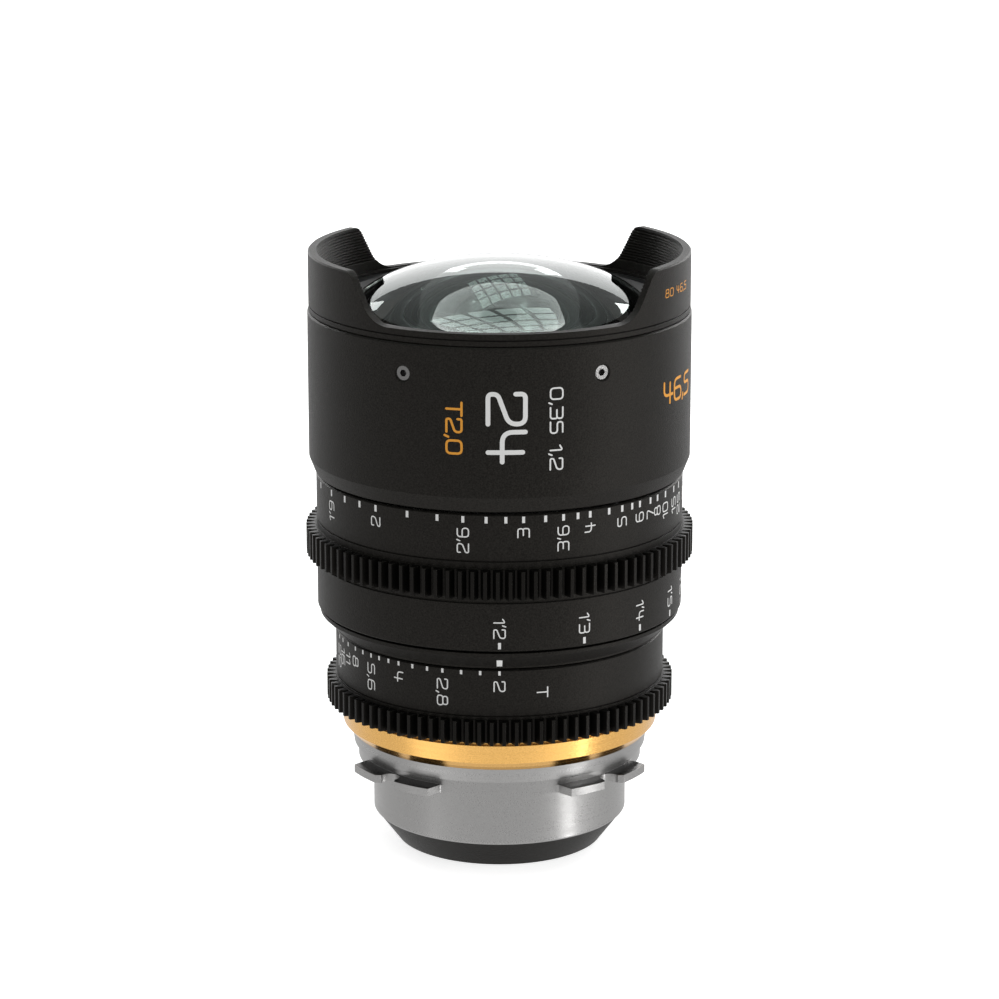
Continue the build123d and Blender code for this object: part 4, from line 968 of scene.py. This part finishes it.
class LENS_OT_stage(bpy.types.Operator):
    """Set up the pale floor, the soft lights and the camera"""
    bl_idname = "lens.stage"
    bl_label = "Stage"

    def execute(self, context):
        scene = context.scene
        studio = scene.lens_studio
        floor = Finish("stage_floor")
        floor.surface(
            Base_Color=tuple(studio.floor), Roughness=0.9, Specular_IOR_Level=0.1,
            Emission_Color=(1, 1, 1, 1), Emission_Strength=studio.glow)
        half = 4.0
        corners = [(-half, -half, FLOOR_HEIGHT), (half, -half, FLOOR_HEIGHT),
                   (half, half, FLOOR_HEIGHT), (-half, half, FLOOR_HEIGHT)]
        ground = plain_mesh("stage_floor", corners, [(0, 1, 2, 3)], floor.material)
        ground.visible_diffuse = False
        ground.visible_glossy = False
        ground.visible_shadow = False
        columns, rows, slant = 5, 4, radians(22)
        pane, lit_share, pane_height = 0.13, 0.8, 0.8
        for column in range(columns):
            for row in range(rows):
                across = (column - (columns - 1) / 2) * pane
                along = (row - (rows - 1) / 2) * pane
                place = (
                    across * cos(slant) - along * sin(slant),
                    across * sin(slant) + along * cos(slant), pane_height)
                light = area_light(
                    f"overhead_pane_{column}_{row}", place, (0, 0, 0), (lit_share * pane, lit_share * pane),
                    studio.overhead / (columns * rows), tint=(0.86, 1, 0.95))
                light.rotation_euler = (0, 0, slant)
        for name, place, aim, size in LIGHTS:
            area_light(f"{name}_light", place, aim, size, getattr(studio, name))
        world = bpy.data.worlds.new("studio_world")
        world.use_nodes = True
        sky = Nodes(world.node_tree)
        background = sky.tree.nodes["Background"]
        direction = sky.node("ShaderNodeTexCoord").outputs["Generated"]
        rise = sky.value("ShaderNodeSeparateXYZ", None, {"Vector": direction}, "Z")
        # The even light weakens over a band of directions at the horizon
        band_top, steepness = 0.12, 5
        below = ((band_top - rise) * steepness).clamped()
        strength = (below * (1 - studio.ceiling) + studio.ceiling) * studio.ambient
        plug(sky.tree, background.inputs["Color"], (1, 1, 1, 1))
        plug(sky.tree, background.inputs["Strength"], strength)
        scene.world = world
        scene.view_settings.view_transform = "Standard"
        camera_data = bpy.data.cameras.new("camera")
        camera_data.lens = FOCAL_LENGTH
        camera_data.sensor_width = 36
        camera_data.clip_start = 0.01
        camera_data.clip_end = 50
        camera = bpy.data.objects.new("camera", camera_data)
        camera.location = CAMERA_PLACE
        camera.rotation_euler = (pi / 2 - CAMERA_TILT, 0, 0)
        bpy.context.collection.objects.link(camera)
        scene.camera = camera
        return {"FINISHED"}


STEPS = (
    LENS_OT_stage, LENS_OT_barrels, LENS_OT_metal, LENS_OT_inside, LENS_OT_glass,
    LENS_OT_focus_scale, LENS_OT_iris_scale, LENS_OT_index_marks, LENS_OT_barrel_numbers,
)


class LENS_PT_panel(bpy.types.Panel):
    """The sizes, colours and steps of the lens"""
    bl_label = "Cinema Prime Lens"
    bl_idname = "LENS_PT_panel"
    bl_space_type = "VIEW_3D"
    bl_region_type = "UI"
    bl_category = "Lens"

    def draw(self, context):
        layout = self.layout
        for group in (context.scene.lens_sizes, context.scene.lens_colours, context.scene.lens_studio):
            column = layout.column(align=True)
            for key in group.__annotations__:
                column.prop(group, key)
        column = layout.column(align=True)
        for step in STEPS:
            column.operator(step.bl_idname)


CLASSES = (LensSizes, LensColours, LensStudio, *STEPS, LENS_PT_panel)


def register():
    for item in CLASSES:
        bpy.utils.register_class(item)
    bpy.types.Scene.lens_sizes = PointerProperty(type=LensSizes)
    bpy.types.Scene.lens_colours = PointerProperty(type=LensColours)
    bpy.types.Scene.lens_studio = PointerProperty(type=LensStudio)


def unregister():
    del bpy.types.Scene.lens_studio
    del bpy.types.Scene.lens_colours
    del bpy.types.Scene.lens_sizes
    for item in reversed(CLASSES):
        bpy.utils.unregister_class(item)


def main():
    register()
    for step in STEPS:
        family, name = step.bl_idname.split(".")
        getattr(getattr(bpy.ops, family), name)()


if __name__ == "__main__":
    main()
